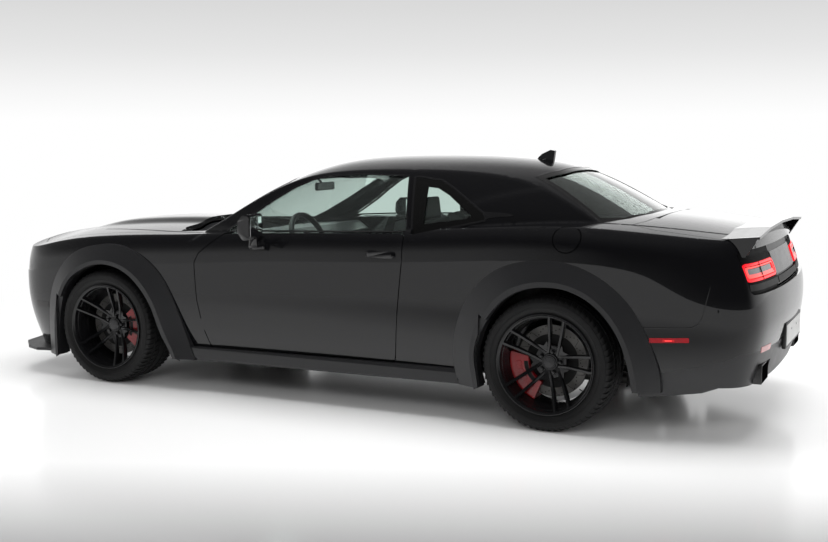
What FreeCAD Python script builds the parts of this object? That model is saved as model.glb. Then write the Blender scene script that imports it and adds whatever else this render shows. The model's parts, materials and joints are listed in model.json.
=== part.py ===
import FreeCAD, Part
import math
import os
from FreeCAD import Vector

# A two-door muscle car. Millimetres, +X to the nose, +Y to the left side, +Z up.
# The origin is on the ground, under the middle of the car's length and width.

# Driving sizes of the whole car
length = 5022.0
height = 1450.0
wheelbase = 2951.0
front_overhang = 940.0
body_width = 1914.0
wheel_track = 1666.0

# Gaps
shut_gap = 5.5
seat_gap = 0.3
overrun = 100.0

# Thickness of walls and panels
side_wall = 40.0
top_wall = 30.0
pillar_wall = 45.0
roof_wall = 32.0
glass = 5.0
glass_inset = 8.0
sheet = 6.0
floor_thickness = 25.0

# Wheels and tyres
tyre_radius = 361.0
tyre_width = 305.0
rim_radius = 272.0
rim_barrel = 256.0
rim_wall = 7.0
hub_radius = 84.0
hub_bore_radius = 34.0
hub_face = 72.0
wheel_mounting_face = 42.0
spoke_pairs = 5
spoke_width = 21.0
spoke_spread = 21.0
lug_circle_radius = 57.15
lug_hole_radius = 8.0

# Brakes
disc_radius = 195.0
disc_thickness = 32.0
disc_offset = 2.0
disc_hat_radius = 86.0
caliper_outer_radius = 227.0
caliper_inner_radius = 122.0
caliper_width = 121.0
caliper_offset = 7.5
caliper_gap = 6.0
caliper_angle = 78.0

# Wheel arches and flares
arch_radius = 405.0
liner_radius = 416.0
liner_sheet = 4.0

# Worked out from the driving sizes
rear_overhang = length - wheelbase - front_overhang
front_axle = length / 2 - front_overhang
rear_axle = front_axle - wheelbase
half_width = body_width / 2
wheel_y = wheel_track / 2
axle_height = tyre_radius
steer_inset_share = 0.141
steer_y = wheel_y - steer_inset_share * tyre_width


def X(share):
    """Place along the car: -1 tail, 0 rear axle, 1 front axle, 2 nose."""
    if share > 1:
        return front_axle + (share - 1) * front_overhang
    if share < 0:
        return rear_axle + share * rear_overhang
    return rear_axle + share * wheelbase


def Y(share):
    """Place across the car, as a share of half the body's width."""
    return share * half_width


def Z(share):
    """Height above the ground, as a share of the roof's height."""
    return share * height


def along(table, share):
    """Read a table of (place, value) shares between its rows."""
    rows = sorted(table)
    if share <= rows[0][0]:
        return rows[0][1]
    for (low, value), (high, next_value) in zip(rows, rows[1:]):
        if share <= high:
            return value + (next_value - value) * (share - low) / (high - low)
    return rows[-1][1]


def box(x0, x1, y0, y1, z0, z1):
    """A block between two corners."""
    return Part.makeBox(x1 - x0, y1 - y0, z1 - z0, Vector(x0, y0, z0))


def rod(start, end, radius):
    """A round bar between two points."""
    line = Vector(*end) - Vector(*start)
    return Part.makeCylinder(radius, line.Length, Vector(*start), line)


def rounded_loop(corners, place, radius=0.0):
    """A closed outline of straight runs, its corners rounded; place turns (u, v) into a point."""
    spots = [Vector(c[0], c[1], 0) for c in corners]
    radii = [c[2] if len(c) > 2 else radius for c in corners]
    ends = []
    for i, spot in enumerate(spots):
        back = spots[i - 1] - spot
        ahead = spots[(i + 1) % len(spots)] - spot
        angle = back.getAngle(ahead)
        if radii[i] <= 0 or angle > math.pi * 0.995:
            ends.append((spot, None, spot))
            continue
        cut = radii[i] / math.tan(angle / 2)
        cut = min(cut, back.Length * 0.48, ahead.Length * 0.48)
        size = cut * math.tan(angle / 2)
        back.normalize()
        ahead.normalize()
        middle = back + ahead
        middle.normalize()
        far = size / math.sin(angle / 2) - size
        ends.append((spot + back * cut, spot + middle * far, spot + ahead * cut))
    edges = []
    for i, (start, bend, end) in enumerate(ends):
        if bend is not None:
            edges.append(Part.Arc(place(start), place(bend), place(end)).toShape())
        following = ends[(i + 1) % len(ends)][0]
        if (following - end).Length > 1e-6:
            edges.append(Part.LineSegment(place(end), place(following)).toShape())
    return Part.Wire(edges)


def plate_y(corners, y0, y1, radius=0.0):
    """An outline in side view, given thickness across the car."""
    loop = rounded_loop(corners, lambda p: Vector(p.x, y0, p.y), radius)
    return Part.Face(loop).extrude(Vector(0, y1 - y0, 0))


def plate_z(corners, z0, z1, radius=0.0):
    """An outline in plan, given height."""
    loop = rounded_loop(corners, lambda p: Vector(p.x, p.y, z0), radius)
    return Part.Face(loop).extrude(Vector(0, 0, z1 - z0))


def plate_x(corners, x0, x1, radius=0.0):
    """An outline in end view (y, z), given length along the car."""
    loop = rounded_loop(corners, lambda p: Vector(x0, p.x, p.y), radius)
    return Part.Face(loop).extrude(Vector(x1 - x0, 0, 0))


def tapered_y(outer, y_outer, inner, y_inner, radius=0.0):
    """A plug between two side-view outlines of as many corners."""
    loops = [rounded_loop(outer, lambda p: Vector(p.x, y_outer, p.y), radius),
             rounded_loop(inner, lambda p: Vector(p.x, y_inner, p.y), radius)]
    return Part.makeLoft(loops, True, True)


def grown(corners, by):
    """The same outline with every side moved out by a distance."""
    spots = [Vector(c[0], c[1], 0) for c in corners]
    area = sum(a.x * b.y - b.x * a.y for a, b in zip(spots, spots[1:] + spots[:1]))
    turn = 1 if area > 0 else -1
    moved = []
    for i, spot in enumerate(spots):
        before = spot - spots[i - 1]
        after = spots[(i + 1) % len(spots)] - spot
        n0 = Vector(before.y, -before.x, 0).normalize() * turn
        n1 = Vector(after.y, -after.x, 0).normalize() * turn
        middle = n0 + n1
        middle.normalize()
        reach = by / max(middle.dot(n0), 0.5)
        moved.append((spot.x + middle.x * reach, spot.y + middle.y * reach) + tuple(corners[i][2:]))
    return moved


def mirrored(shape):
    """The right-hand twin of a left-hand piece."""
    return shape.mirror(Vector(0, 0, 0), Vector(0, 1, 0))


def pair(shape):
    """A left-hand piece and its right-hand twin in one shape."""
    return Part.makeCompound(shape.Solids + mirrored(shape).Solids)


def fused(*shapes):
    """Several solids made one."""
    return shapes[0].multiFuse(list(shapes[1:])).removeSplitter()


def net_face(net):
    """A smooth cubic surface that follows a net of points."""
    def knots(count):
        spans = count - 3
        return list(range(spans + 1)), [4] + [1] * (spans - 1) + [4]
    u_knots, u_times = knots(len(net))
    v_knots, v_times = knots(len(net[0]))
    surface = Part.BSplineSurface()
    surface.buildFromPolesMultsKnots(net, u_times, v_times, u_knots, v_knots, False, False, 3, 3)
    return surface.toShape()


# The line where the body's side turns over into its top: place along the car, height
crest_shares = [
    (-1.08, 0.69), (-0.902, 0.698), (-0.753, 0.705), (-0.581, 0.721), (-0.398, 0.734),
    (-0.167, 0.746), (0.044, 0.748), (0.146, 0.731), (0.288, 0.71), (0.468, 0.698),
    (0.618, 0.69), (0.717, 0.676), (0.793, 0.661), (0.898, 0.655), (1.021, 0.643),
    (1.287, 0.631), (1.479, 0.61), (1.666, 0.579), (1.807, 0.552), (2.1, 0.545)]

# Plan outline of the widest part of the body, from the tail's middle round to the nose
plan_shares = [
    (-1.0, 0.0), (-1.0, 0.209), (-0.99, 0.439), (-0.971, 0.648), (-0.942, 0.825),
    (-0.849, 0.93), (-0.707, 0.972), (-0.46, 0.993), (-0.106, 1.0), (0.095, 0.993),
    (0.264, 0.979), (0.434, 0.974), (0.603, 0.974), (0.756, 0.979), (0.891, 0.99),
    (1.031, 0.995), (1.35, 0.99), (1.605, 0.967), (1.786, 0.914), (1.914, 0.799),
    (1.976, 0.596), (1.997, 0.334), (2.0, 0.136), (2.0, 0.0)]

# Rows of the side from bottom to top: height, height over the crest, then how far the
# surface stands in from the plan outline at the side, the nose and the tail
side_row_shares = [
    (0.083, None, 0.073, 0.125, 0.136), (0.152, None, 0.042, 0.094, 0.099),
    (0.228, None, 0.015, 0.042, 0.052), (0.359, None, 0.002, 0.0, 0.013),
    (0.483, None, 0.0, 0.005, 0.0), (None, -0.103, 0.004, 0.009, 0.047),
    (None, -0.045, 0.016, 0.015, 0.084), (None, -0.003, 0.065, 0.025, 0.104),
    (None, 0.041, 0.136, 0.042, 0.157), (None, 0.103, 0.209, 0.094, 0.24),
    (0.897, None, 0.345, 0.313, 0.418)]

# Rise of the hood and deck over the crest at the middle of the car
crown_shares = [
    (-1.12, 0.019), (-0.946, 0.03), (-0.725, 0.038), (-0.46, 0.041), (-0.106, 0.041),
    (0.061, 0.034), (0.773, 0.031), (0.898, 0.033), (1.021, 0.04), (1.297, 0.041),
    (1.456, 0.055), (1.669, 0.07), (1.935, 0.076), (2.15, 0.069)]
top_place_shares = [2.15, 1.988, 1.861, 1.701, 1.51, 1.244, 0.976, 0.891, 0.834, 0.773,
                    0.671, 0.468, 0.264, 0.061, -0.106, -0.283, -0.46, -0.637, -0.813,
                    -0.946, -1.13]
top_width_shares = [0.0, 0.157, 0.261, 0.355, 0.46, 0.648, 0.836, 0.961, 1.097]
bulge_shares = [(0.773, 0.014), (0.84, 0.019), (1.137, 0.022), (1.51, 0.017), (1.722, 0.0)]
bulge_half_share = 0.261
crown_width_share = 0.94
corner_start_share = 1.456
corner_end_share = 1.882
tail_start_share = -0.548
tail_end_share = -0.902


def body_wall(inset):
    """The closed band round the body below the windows, moved in by inset."""
    spots = [(X(x), Y(y)) for x, y in plan_shares]
    net = []
    for i, (x, y) in enumerate(spots):
        before, after = spots[max(i - 1, 0)], spots[min(i + 1, len(spots) - 1)]
        way = Vector(after[0] - before[0], after[1] - before[1], 0)
        if i == 0:
            way = Vector(0, 1, 0)
        if i == len(spots) - 1:
            way = Vector(0, -1, 0)
        way.normalize()
        place = plan_shares[i][0]
        nose = (place - corner_start_share) / (corner_end_share - corner_start_share)
        tail = (place - tail_start_share) / (tail_end_share - tail_start_share)
        nose = min(max(nose, 0.0), 1.0)
        tail = min(max(tail, 0.0), 1.0)
        row = []
        for level, over, at_side, at_nose, at_tail in side_row_shares:
            tuck = at_side * (1 - nose - tail) + at_nose * nose + at_tail * tail
            level_share = level if over is None else along(crest_shares, place) + over
            inward = Y(tuck) + inset
            across = 0.0 if i in (0, len(spots) - 1) else y - way.x * inward
            row.append(Vector(x + way.y * inward, across, Z(level_share)))
        net.append(row)
    for j in range(len(side_row_shares)):
        net[1][j].x = net[0][j].x
        net[-2][j].x = net[-1][j].x
    left = net_face(net)
    faces = [left, mirrored(left)]
    for level in (side_row_shares[0][0], side_row_shares[-1][0]):
        rim = [e for f in faces[:2] for e in f.Edges
               if abs(e.BoundBox.ZMin - Z(level)) < 1e-3 and abs(e.BoundBox.ZMax - Z(level)) < 1e-3]
        faces.append(Part.Face(Part.Wire(Part.__sortEdges__(rim))))
    skin = Part.makeShell(faces)
    skin.sewShape()
    return Part.makeSolid(skin)


def body_top(drop):
    """All that lies below the hood and deck surface, moved down by drop."""
    net = []
    for place in top_place_shares:
        row = []
        for across in top_width_shares:
            rise = along(crown_shares, place) * (1 - (across / crown_width_share) ** 2)
            if across <= bulge_half_share and place > bulge_shares[0][0] * 0.999:
                rise += along(bulge_shares, place)
            row.append(Vector(X(place), Y(across), Z(along(crest_shares, place) + rise) - drop))
        net.append([Vector(p.x, -p.y, p.z) for p in reversed(row[1:])] + row)
    return net_face(net).extrude(Vector(0, 0, -height))


# The glasshouse: side surface, as place along the car and how far it closes in,
# then height and half width
cabin_place_shares = [(1.35, 0.345), (0.942, 0.178), (0.807, 0.084), (0.688, 0.031), (0.569, 0.008),
                      (0.451, 0.0), (0.332, 0.004), (0.197, 0.021), (0.061, 0.052),
                      (-0.195, 0.104), (-0.548, 0.178), (-0.902, 0.272)]
cabin_section_shares = [(0.552, 0.94), (0.655, 0.926), (0.724, 0.888), (0.793, 0.836),
                        (0.883, 0.754), (0.952, 0.684), (1.021, 0.585), (1.103, 0.439)]
# Windscreen, roof and back window along the middle of the car
roof_line_shares = [
    (1.35, 0.386), (1.031, 0.503), (0.925, 0.599), (0.871, 0.657), (0.807, 0.726),
    (0.739, 0.799), (0.678, 0.867), (0.627, 0.919), (0.569, 0.966), (0.502, 0.992),
    (0.417, 1.001), (0.332, 1.003), (0.23, 1.0), (0.146, 0.988), (0.078, 0.967),
    (0.027, 0.931), (-0.062, 0.883), (-0.195, 0.828), (-0.327, 0.772), (-0.504, 0.697),
    (-0.769, 0.586)]
roof_width_shares = [0.0, 0.188, 0.376, 0.564, 0.731, 0.94]
roof_crown_share = 0.066
roof_crown_width_share = 0.731


def cabin_side(inset):
    """All that lies inboard of the left window surface."""
    net = [[Vector(X(place), Y(across - closing) - inset, Z(level))
            for level, across in cabin_section_shares]
           for place, closing in cabin_place_shares]
    return net_face(net).extrude(Vector(0, -2 * body_width, 0))


def cabin_top(drop):
    """All that lies below the windscreen, roof and back window."""
    net = []
    for place, level in roof_line_shares:
        row = [Vector(X(place), Y(across),
                      Z(level - roof_crown_share * (across / roof_crown_width_share) ** 2) - drop)
               for across in roof_width_shares]
        net.append([Vector(p.x, -p.y, p.z) for p in reversed(row[1:])] + row)
    return net_face(net).extrude(Vector(0, 0, -height))


def cabin_form(inset, drop):
    side = cabin_side(inset)
    return side.common(mirrored(side)).common(cabin_top(drop))


def body_form(inset, drop):
    return body_wall(inset).common(body_top(drop))


outer_body = body_form(0.0, 0.0)
outer_cabin = cabin_form(0.0, 0.0)
outer_form = outer_body.fuse(outer_cabin)
inner_form = body_form(side_wall, top_wall).fuse(cabin_form(pillar_wall, roof_wall))
fit_form = body_form(side_wall + seat_gap, top_wall + seat_gap).fuse(
    cabin_form(pillar_wall + seat_gap, roof_wall + seat_gap))
skin = outer_form.cut(inner_form)


# Outlines in side view, from the front lower corner round: place, height, corner radius
door_edge_shares = [(0.739, 0.185), (0.756, 0.276), (0.768, 0.394), (0.773, 0.552), (0.763, 0.593),
                    (0.709, 0.684), (0.618, 0.693), (0.289, 0.712), (0.29, 0.59),
                    (0.3, 0.386), (0.306, 0.196)]
door_corner = 30.0
door_draft = 24.0
door_inner_y = 800.0 / 957.0 * half_width
door_front_depth = 62.0
sill_shares = [(0.784, 0.19), (0.768, 0.133), (0.171, 0.143), (0.18, 0.2)]
front_fascia_cut_shares = [(1.467, 0.083), (1.467, 0.207), (1.536, 0.386), (1.616, 0.483),
                           (1.733, 0.524), (1.786, 0.593), (1.776, 0.828), (2.3, 0.828),
                           (2.3, 0.083)]
rear_fascia_cut_shares = [(-0.283, 0.062), (-0.283, 0.406), (-0.444, 0.406), (-0.67, 0.42),
                          (-0.703, 0.441), (-0.718, 0.473), (-0.733, 0.527), (-0.757, 0.623),
                          (-0.8, 0.717), (-0.8, 0.793), (-1.3, 0.793), (-1.3, 0.062)]
belly_shares = [(2.3, 0.0), (2.3, 0.123), (1.51, 0.124), (0.807, 0.135), (0.18, 0.143),
                (-0.46, 0.155), (-0.707, 0.182), (-0.778, 0.202), (-1.3, 0.202), (-1.3, 0.0)]
valance_shares = [(-0.407, 0.138), (-0.46, 0.238), (-0.704, 0.277), (-0.81, 0.301),
                  (-0.869, 0.324), (-1.3, 0.345), (-1.3, 0.138)]

# Outlines in plan: place along the car, place across
hood_shares = [(0.903, 0.0), (0.899, 0.313), (0.883, 0.585), (0.851, 0.778), (0.908, 0.803),
               (1.137, 0.799), (1.563, 0.771), (1.765, 0.737), (1.882, 0.585), (1.924, 0.313),
               (1.933, 0.0)]
lid_shares = [(-0.402, 0.0), (-0.396, 0.313), (-0.371, 0.585), (-0.336, 0.731),
              (-0.46, 0.799), (-0.725, 0.805), (-1.3, 0.805), (-1.3, 0.0)]
cowl_shares = [(0.849, 0.0), (0.842, 0.313), (0.812, 0.585), (0.784, 0.763), (0.847, 0.768),
               (0.881, 0.585), (0.897, 0.313), (0.901, 0.0)]
roof_panel_shares = [(0.613, 0.0), (0.608, 0.261), (0.59, 0.543), (0.535, 0.59), (0.298, 0.601),
                     (0.163, 0.575), (0.098, 0.522), (0.078, 0.261), (0.073, 0.0)]
windscreen_shares = [(0.878, 0.0), (0.873, 0.313), (0.851, 0.585), (0.81, 0.721), (0.773, 0.744),
                     (0.695, 0.742), (0.644, 0.715), (0.598, 0.669), (0.607, 0.564),
                     (0.631, 0.313), (0.639, 0.0)]
back_window_shares = [(0.049, 0.0), (0.053, 0.313), (0.07, 0.569), (-0.195, 0.75),
                      (-0.283, 0.543), (-0.332, 0.261), (-0.34, 0.0)]
window_corner = 45.0

# Side windows in side view
door_window_shares = [(0.71, 0.684), (0.644, 0.765), (0.613, 0.808), (0.57, 0.861),
                      (0.527, 0.897), (0.491, 0.914), (0.425, 0.922), (0.316, 0.917),
                      (0.295, 0.711), (0.618, 0.693)]
window_foot_shares = [(0.701, 0.69), (0.701, 0.668), (0.618, 0.675), (0.299, 0.693),
                      (0.299, 0.717)]
quarter_window_shares = [(0.3, 0.914), (0.245, 0.901), (0.215, 0.869), (0.14, 0.771),
                         (0.143, 0.759), (0.28, 0.699)]


def side(table):
    """A side-view outline from its shares."""
    return [(X(row[0]), Z(row[1])) for row in table]


def plan(table):
    """A plan outline, mirrored about the middle of the car, from its left half's shares."""
    left = [(X(row[0]), Y(row[1])) for row in table]
    return left + [(x, -y) for x, y in reversed(left) if y > 0]


def curve_loop(points, y):
    """A closed side-view outline: a smooth line through the points and a straight foot."""
    spots = [Vector(x, y, z) for x, z in points]
    line = Part.BSplineCurve()
    line.interpolate(spots)
    return Part.Wire([line.toShape(), Part.LineSegment(spots[-1], spots[0]).toShape()])


# Wheel flares, from the nose end over the wheel to the tail end: outer edge and lip, as shares
# of the arch radius from the wheel's middle
front_flare_edge_shares = [
    (1.212, -0.52), (1.212, -0.151), (1.16, 0.474), (0.904, 0.943), (0.6, 1.17), (0.249, 1.274),
    (-0.257, 1.294), (-0.798, 1.084), (-1.057, 0.859), (-1.257, 0.543), (-1.432, 0.165),
    (-1.6, -0.244), (-1.674, -0.41)]
front_flare_lip_shares = [
    (0.965, -0.52), (0.965, -0.13), (0.857, 0.45), (0.662, 0.738), (0.43, 0.889), (0.151, 0.983),
    (-0.151, 0.983), (-0.48, 0.868), (-0.728, 0.662), (-0.955, 0.333), (-1.123, -0.052),
    (-1.254, -0.262), (-1.314, -0.4)]
rear_flare_edge_shares = [
    (1.242, -0.383), (1.296, -0.202), (1.323, 0.099), (1.232, 0.585), (0.975, 1.0), (0.664, 1.227),
    (0.215, 1.348), (-0.341, 1.321), (-0.728, 1.16), (-1.111, 0.812), (-1.383, 0.309),
    (-1.481, 0.02), (-1.504, -0.247)]
rear_flare_lip_shares = [
    (0.919, -0.383), (0.958, -0.148), (0.978, 0.101), (0.869, 0.444), (0.647, 0.753),
    (0.407, 0.928), (0.123, 1.012), (-0.247, 1.005), (-0.531, 0.901), (-0.815, 0.667),
    (-1.017, 0.346), (-1.106, 0.074), (-1.17, -0.247)]
flare_rim_share = 0.2
arch_hole_share = 0.06
flare_out = half_width * 1.04
flare_step_y = half_width * 0.992


def between(place, low, high, share):
    """Points a share of the way from one flare outline to the other, in the car."""
    return [(place + (a[0] + (b[0] - a[0]) * share) * arch_radius,
             axle_height + (a[1] + (b[1] - a[1]) * share) * arch_radius)
            for a, b in zip(low, high)]


def curve_plate(points, y0, y1):
    return Part.Face(curve_loop(points, y0)).extrude(Vector(0, y1 - y0, 0))


# Tools that cut the skin into panels
left_out = Y(1.2)
side_in = Y(0.6)
glass_in = Y(0.4)
belly = plate_y(side(belly_shares), -left_out, left_out)
front_region = plate_y(side(front_fascia_cut_shares), -left_out, left_out)
rear_region = plate_y(side(rear_fascia_cut_shares), -left_out, left_out)
front_region_wide = plate_y(grown(side(front_fascia_cut_shares), seat_gap), -left_out, left_out)
rear_region_wide = plate_y(grown(side(rear_fascia_cut_shares), seat_gap), -left_out, left_out)
hood_low = Z(0.483)
hood_region = plate_z(plan(hood_shares), hood_low, height)
hood_hole = plate_z(grown(plan(hood_shares), shut_gap), hood_low, height)
lid_region = plate_z(plan(lid_shares), Z(0.679), height)
lid_hole = plate_z(grown(plan(lid_shares), shut_gap), Z(0.675), height)
roof_low = Z(0.828)
roof_region = plate_z(plan(roof_panel_shares), roof_low, height + overrun, window_corner)
roof_hole = plate_z(grown(plan(roof_panel_shares), seat_gap), roof_low, height + overrun,
                    window_corner)
cowl_low = Z(0.593)
cowl_drop = 42.0
cowl_sheet = 22.0
cowl_region = plate_z(plan(cowl_shares), cowl_low, height)
cowl_hole = plate_z(grown(plan(cowl_shares), seat_gap), cowl_low, height)


def arch_hole(place, edge, lip):
    points = between(place, lip, edge, arch_hole_share)
    first, last = points[0], points[-1]
    low = plate_y([(first[0], first[1] + arch_radius), (first[0], -overrun),
                   (last[0], -overrun), (last[0], last[1] + overrun / 10),
                   (place, axle_height)], side_in, left_out)
    return curve_plate(points, side_in, left_out).fuse(low)


front_arch = arch_hole(front_axle, front_flare_edge_shares, front_flare_lip_shares)
rear_arch = arch_hole(rear_axle, rear_flare_edge_shares, rear_flare_lip_shares)
arches = front_arch.fuse(rear_arch)
both_arches = arches.fuse(mirrored(arches))

door_outer_y = Y(1.04)
door_plug = tapered_y(side(door_edge_shares), door_outer_y,
                      grown(side(door_edge_shares), -door_draft), door_inner_y, door_corner)
door_hole = tapered_y(grown(side(door_edge_shares), shut_gap), door_outer_y,
                      grown(side(door_edge_shares), shut_gap - door_draft), door_inner_y,
                      door_corner)
door_deep = plate_y(grown(side(door_edge_shares), shut_gap - door_draft), side_in,
                    door_inner_y + seat_gap)
door_hole = door_hole.fuse(door_deep)
window_plug = plate_y(side(door_window_shares), glass_in, left_out)
window_seat = plate_y(grown(side(door_window_shares), seat_gap), glass_in, left_out)
window_hole = plate_y(grown(side(door_window_shares), shut_gap), glass_in, left_out)
window_foot = plate_y(side(window_foot_shares), glass_in, left_out)
window_slot = plate_y(grown(side(window_foot_shares), seat_gap), glass_in, left_out)
window_hole = window_hole.fuse(plate_y(grown(side(window_foot_shares), shut_gap), glass_in, left_out))
quarter_plug = plate_y(side(quarter_window_shares), glass_in, left_out)
quarter_glass = plate_y(grown(side(quarter_window_shares), -seat_gap), glass_in, left_out)
screen_low = Z(0.621)
back_low = Z(0.69)
screen_plug = plate_z(plan(windscreen_shares), screen_low, height + overrun, window_corner)
screen_glass = plate_z(grown(plan(windscreen_shares), -seat_gap), screen_low, height + overrun,
                       window_corner)
back_plug = plate_z(plan(back_window_shares), back_low, height + overrun, window_corner)
back_glass = plate_z(grown(plan(back_window_shares), -seat_gap), back_low, height + overrun,
                     window_corner)
sill_plug = plate_y(side(sill_shares), side_in, left_out)
sill_hole = plate_y(grown(side(sill_shares), seat_gap), side_in, left_out).fuse(
    box(X(sill_shares[2][0]), X(sill_shares[1][0]), side_in, left_out, -overrun, Z(0.166)))
fuel_lid_radius = 74.0
fuel_lid_sheet = 14.0
fuel_x, fuel_y, fuel_z = X(-0.085), Y(0.933), Z(0.697)
fuel_out = Vector(0, 0.84, 0.54)
fuel_up = Vector(0, -0.54, 0.84)
fuel_middle = Vector(fuel_x, fuel_y, fuel_z)


def fuel_round(radius, inward, outward):
    """A round bar through the filler's middle, square to the skin there."""
    low = fuel_middle - fuel_out * inward
    high = fuel_middle + fuel_out * outward
    return rod((low.x, low.y, low.z), (high.x, high.y, high.z), radius)


fuel_hole = fuel_round(fuel_lid_radius + shut_gap, overrun, overrun)
fender_shares = [(0.773, 0.0), (0.773, 0.599), (0.786, 0.621), (0.786, 0.95), (2.2, 0.95), (2.2, 0.0)]
fender_region = plate_y(side(fender_shares), glass_in, left_out)
fender_hole = plate_y(grown(side(fender_shares), seat_gap), glass_in, left_out)

# The interior's main places
floor_low = Z(0.141)
floor_high = floor_low + floor_thickness
floor_edge = Y(0.898)
firewall_x = X(0.847)
heel_x = X(0.176)
jack_places, jack_y = (X(0.79), X(0.213)), Y(0.836)
jack_half_length, jack_half_width, jack_pad_drop = 35.0, 30.0, 8.0
trunk_floor = Z(0.314)
rail_in, rail_out = Y(0.434), Y(0.517)
tunnel_half, tunnel_top = Y(0.172), Z(0.29)
dash_low, dash_high = Z(0.476), Z(0.659)
seat_y = Y(0.392)
seat_half = Y(0.266)

# Hinges
door_hinge_x, door_hinge_y = X(0.73), Y(0.964)
hinge_heights_shares = (0.29, 0.51)
hinge_arm = 24.0
hinge_arm_half = 10.0
hinge_pin = 3.5
hinge_arm_height = 30.0
post_in, post_out = Y(0.731), Y(0.796)
ear = 9.0

speck = 30.0
pieces = {}


def keep(name, shape):
    """Name one finished piece; specks left by a cut are dropped."""
    solids = [s for s in shape.Solids if s.Volume > speck ** 3]
    pieces[name] = solids[0] if len(solids) == 1 else Part.makeCompound(solids)


def largest(shape):
    return max(shape.Solids, key=lambda solid: solid.Volume)


def both(shape):
    return shape.fuse(mirrored(shape))


def turned(profile, middle, sweep=360.0, start=0.0):
    """A profile of (across, radius) points turned about the line across the car at middle."""
    place, height_up = middle
    loop = Part.makePolygon([Vector(place, y, height_up + r) for y, r in profile + profile[:1]])
    solid = Part.Face(loop)
    axis = Vector(0, 1, 0)
    if start:
        solid.rotate(Vector(place, 0, height_up), axis, start)
    return solid.revolve(Vector(place, 0, height_up), axis, sweep)


def grow_round(place, y0, y1, radius):
    return rod((place, y0, axle_height), (place, y1, axle_height), radius)


# Panels that open
hood = skin.common(hood_region).cut(cabin_top(-seat_gap))
hood_axis_x, hood_axis_z = X(0.85), Z(0.668)
ear_in, ear_out = Y(0.669), Y(0.677)
hood_ear = plate_y([(hood_axis_x - ear, hood_axis_z - ear), (hood_axis_x - ear, hood_axis_z + ear),
                    (X(0.874), Z(0.666)), (X(0.89), Z(0.666)), (X(0.89), Z(0.651)), (X(0.874), Z(0.652))],
                   ear_in, ear_out)
hood_pin, pin_room = 4.0, 0.3
hood_ear = hood_ear.fuse(rod((hood_axis_x, ear_in, hood_axis_z),
                             (hood_axis_x, ear_out + ear - pin_room, hood_axis_z), hood_pin))
hood = hood.fuse(both(hood_ear))
keep("hood", hood)
lid = skin.common(lid_region).cut(cabin_top(-seat_gap))
lid_axis_x, lid_axis_z = X(-0.333), Z(0.753)
leaf = box(X(-0.363), X(-0.318), Y(0.711), Y(0.737), Z(0.734), lid_axis_z - Z(0.002))
leaf_seat = plate_z(grown(plan(lid_shares), shut_gap - seat_gap), Z(0.675), height)
lid = lid.fuse(both(leaf.common(leaf_seat).common(outer_form)))
lid_swing = 82.5
lid = lid.cut(rod((lid_axis_x, -Y(0.439), lid_axis_z), (lid_axis_x, Y(0.439), lid_axis_z), lid_swing))
keep("trunk_lid", lid)
clear_out = cabin_form(glass_inset, glass_inset)
clear_in = cabin_form(glass_inset + glass, glass_inset + glass)
clear = clear_out.cut(clear_in)
slot_out = glass_inset - seat_gap
slot_in = glass_inset + glass + seat_gap
slot = window_slot.common(cabin_form(slot_out, slot_out)).cut(cabin_form(slot_in, slot_in))
door = outer_form.common(door_plug).cut(window_seat).cut(slot)
door_front = box(door_hinge_x - Z(0.028), X(0.786), side_in, door_hinge_y - door_front_depth, 0, height)
door = door.cut(door_front)
for level in hinge_heights_shares:
    low = Z(level) - hinge_arm_height / 2
    pocket = box(door_hinge_x - hinge_arm, X(0.786), side_in, door_hinge_y + Y(0.007),
                 low - shut_gap, Z(level) + hinge_arm_height / 2 + seat_gap)
    door = door.cut(pocket)
mirror_round, handle_round = 18.0, 14.0
mirror_head = plate_y([(X(0.598), Z(0.666)), (X(0.613), Z(0.663)), (X(0.626), Z(0.697)),
                       (X(0.624), Z(0.741)),
                       (X(0.612), Z(0.767)), (X(0.598), Z(0.769))], Y(0.991), Y(1.139), mirror_round)
mirror_stalk = plate_y([(X(0.603), Z(0.621)), (X(0.624), Z(0.621)), (X(0.621), Z(0.679)),
                        (X(0.605), Z(0.679))],
                       Y(0.946), Y(1.029), mirror_round * 2 / 3)
mirror_foot = box(X(0.6), X(0.626), Y(0.92), Y(0.982), Z(0.621), Z(0.645))
door = fused(door, mirror_stalk, mirror_head, mirror_foot)
handle = plate_y([(X(0.308), Z(0.607)), (X(0.364), Z(0.611)), (X(0.363), Z(0.638)), (X(0.31), Z(0.635))],
                 Y(0.967), Y(0.998), handle_round)
door = fused(door, handle.cut(plate_y([(X(0.317), Z(0.6)), (X(0.356), Z(0.6)), (X(0.356), Z(0.645)),
                                      (X(0.317), Z(0.645))], Y(0.961), Y(0.984))))
keep("door_left", door)
keep("door_right", mirrored(door))

# Fixed panels
front = skin.common(front_region).cut(hood_hole).cut(belly).cut(both_arches)
slot_round, tail_round = 40.0, 25.0
grille_slot = plate_x([(-Y(0.768), Z(0.441)), (-Y(0.768), Z(0.545)), (Y(0.768), Z(0.545)),
                       (Y(0.768), Z(0.441))],
                      X(1.7), X(2.2), slot_round)
intake_slot = plate_x([(-Y(0.585), Z(0.186)), (-Y(0.669), Z(0.324)), (Y(0.669), Z(0.324)),
                       (Y(0.585), Z(0.186))],
                      X(1.7), X(2.2), slot_round)
front = front.cut(grille_slot).cut(intake_slot)
lamp_low, lamp_high = Z(0.528), Z(0.675)
lamp_half = Y(0.836)
rear = skin.common(rear_region).cut(lid_hole).cut(belly).cut(both_arches)
tail_slot = plate_x([(-lamp_half, lamp_low), (-lamp_half, lamp_high), (lamp_half, lamp_high),
                     (lamp_half, lamp_low)],
                    X(-1.2), X(-0.805), tail_round)
valance_region = plate_y(side(valance_shares), -left_out, left_out)
valance_hole = plate_y(grown(side(valance_shares), seat_gap), -left_out, left_out)
rear = rear.cut(tail_slot).cut(valance_hole)
plate_hole_half, plate_hole_radius, plate_hole_z = 89.0, 3.25, Z(0.345)
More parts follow.
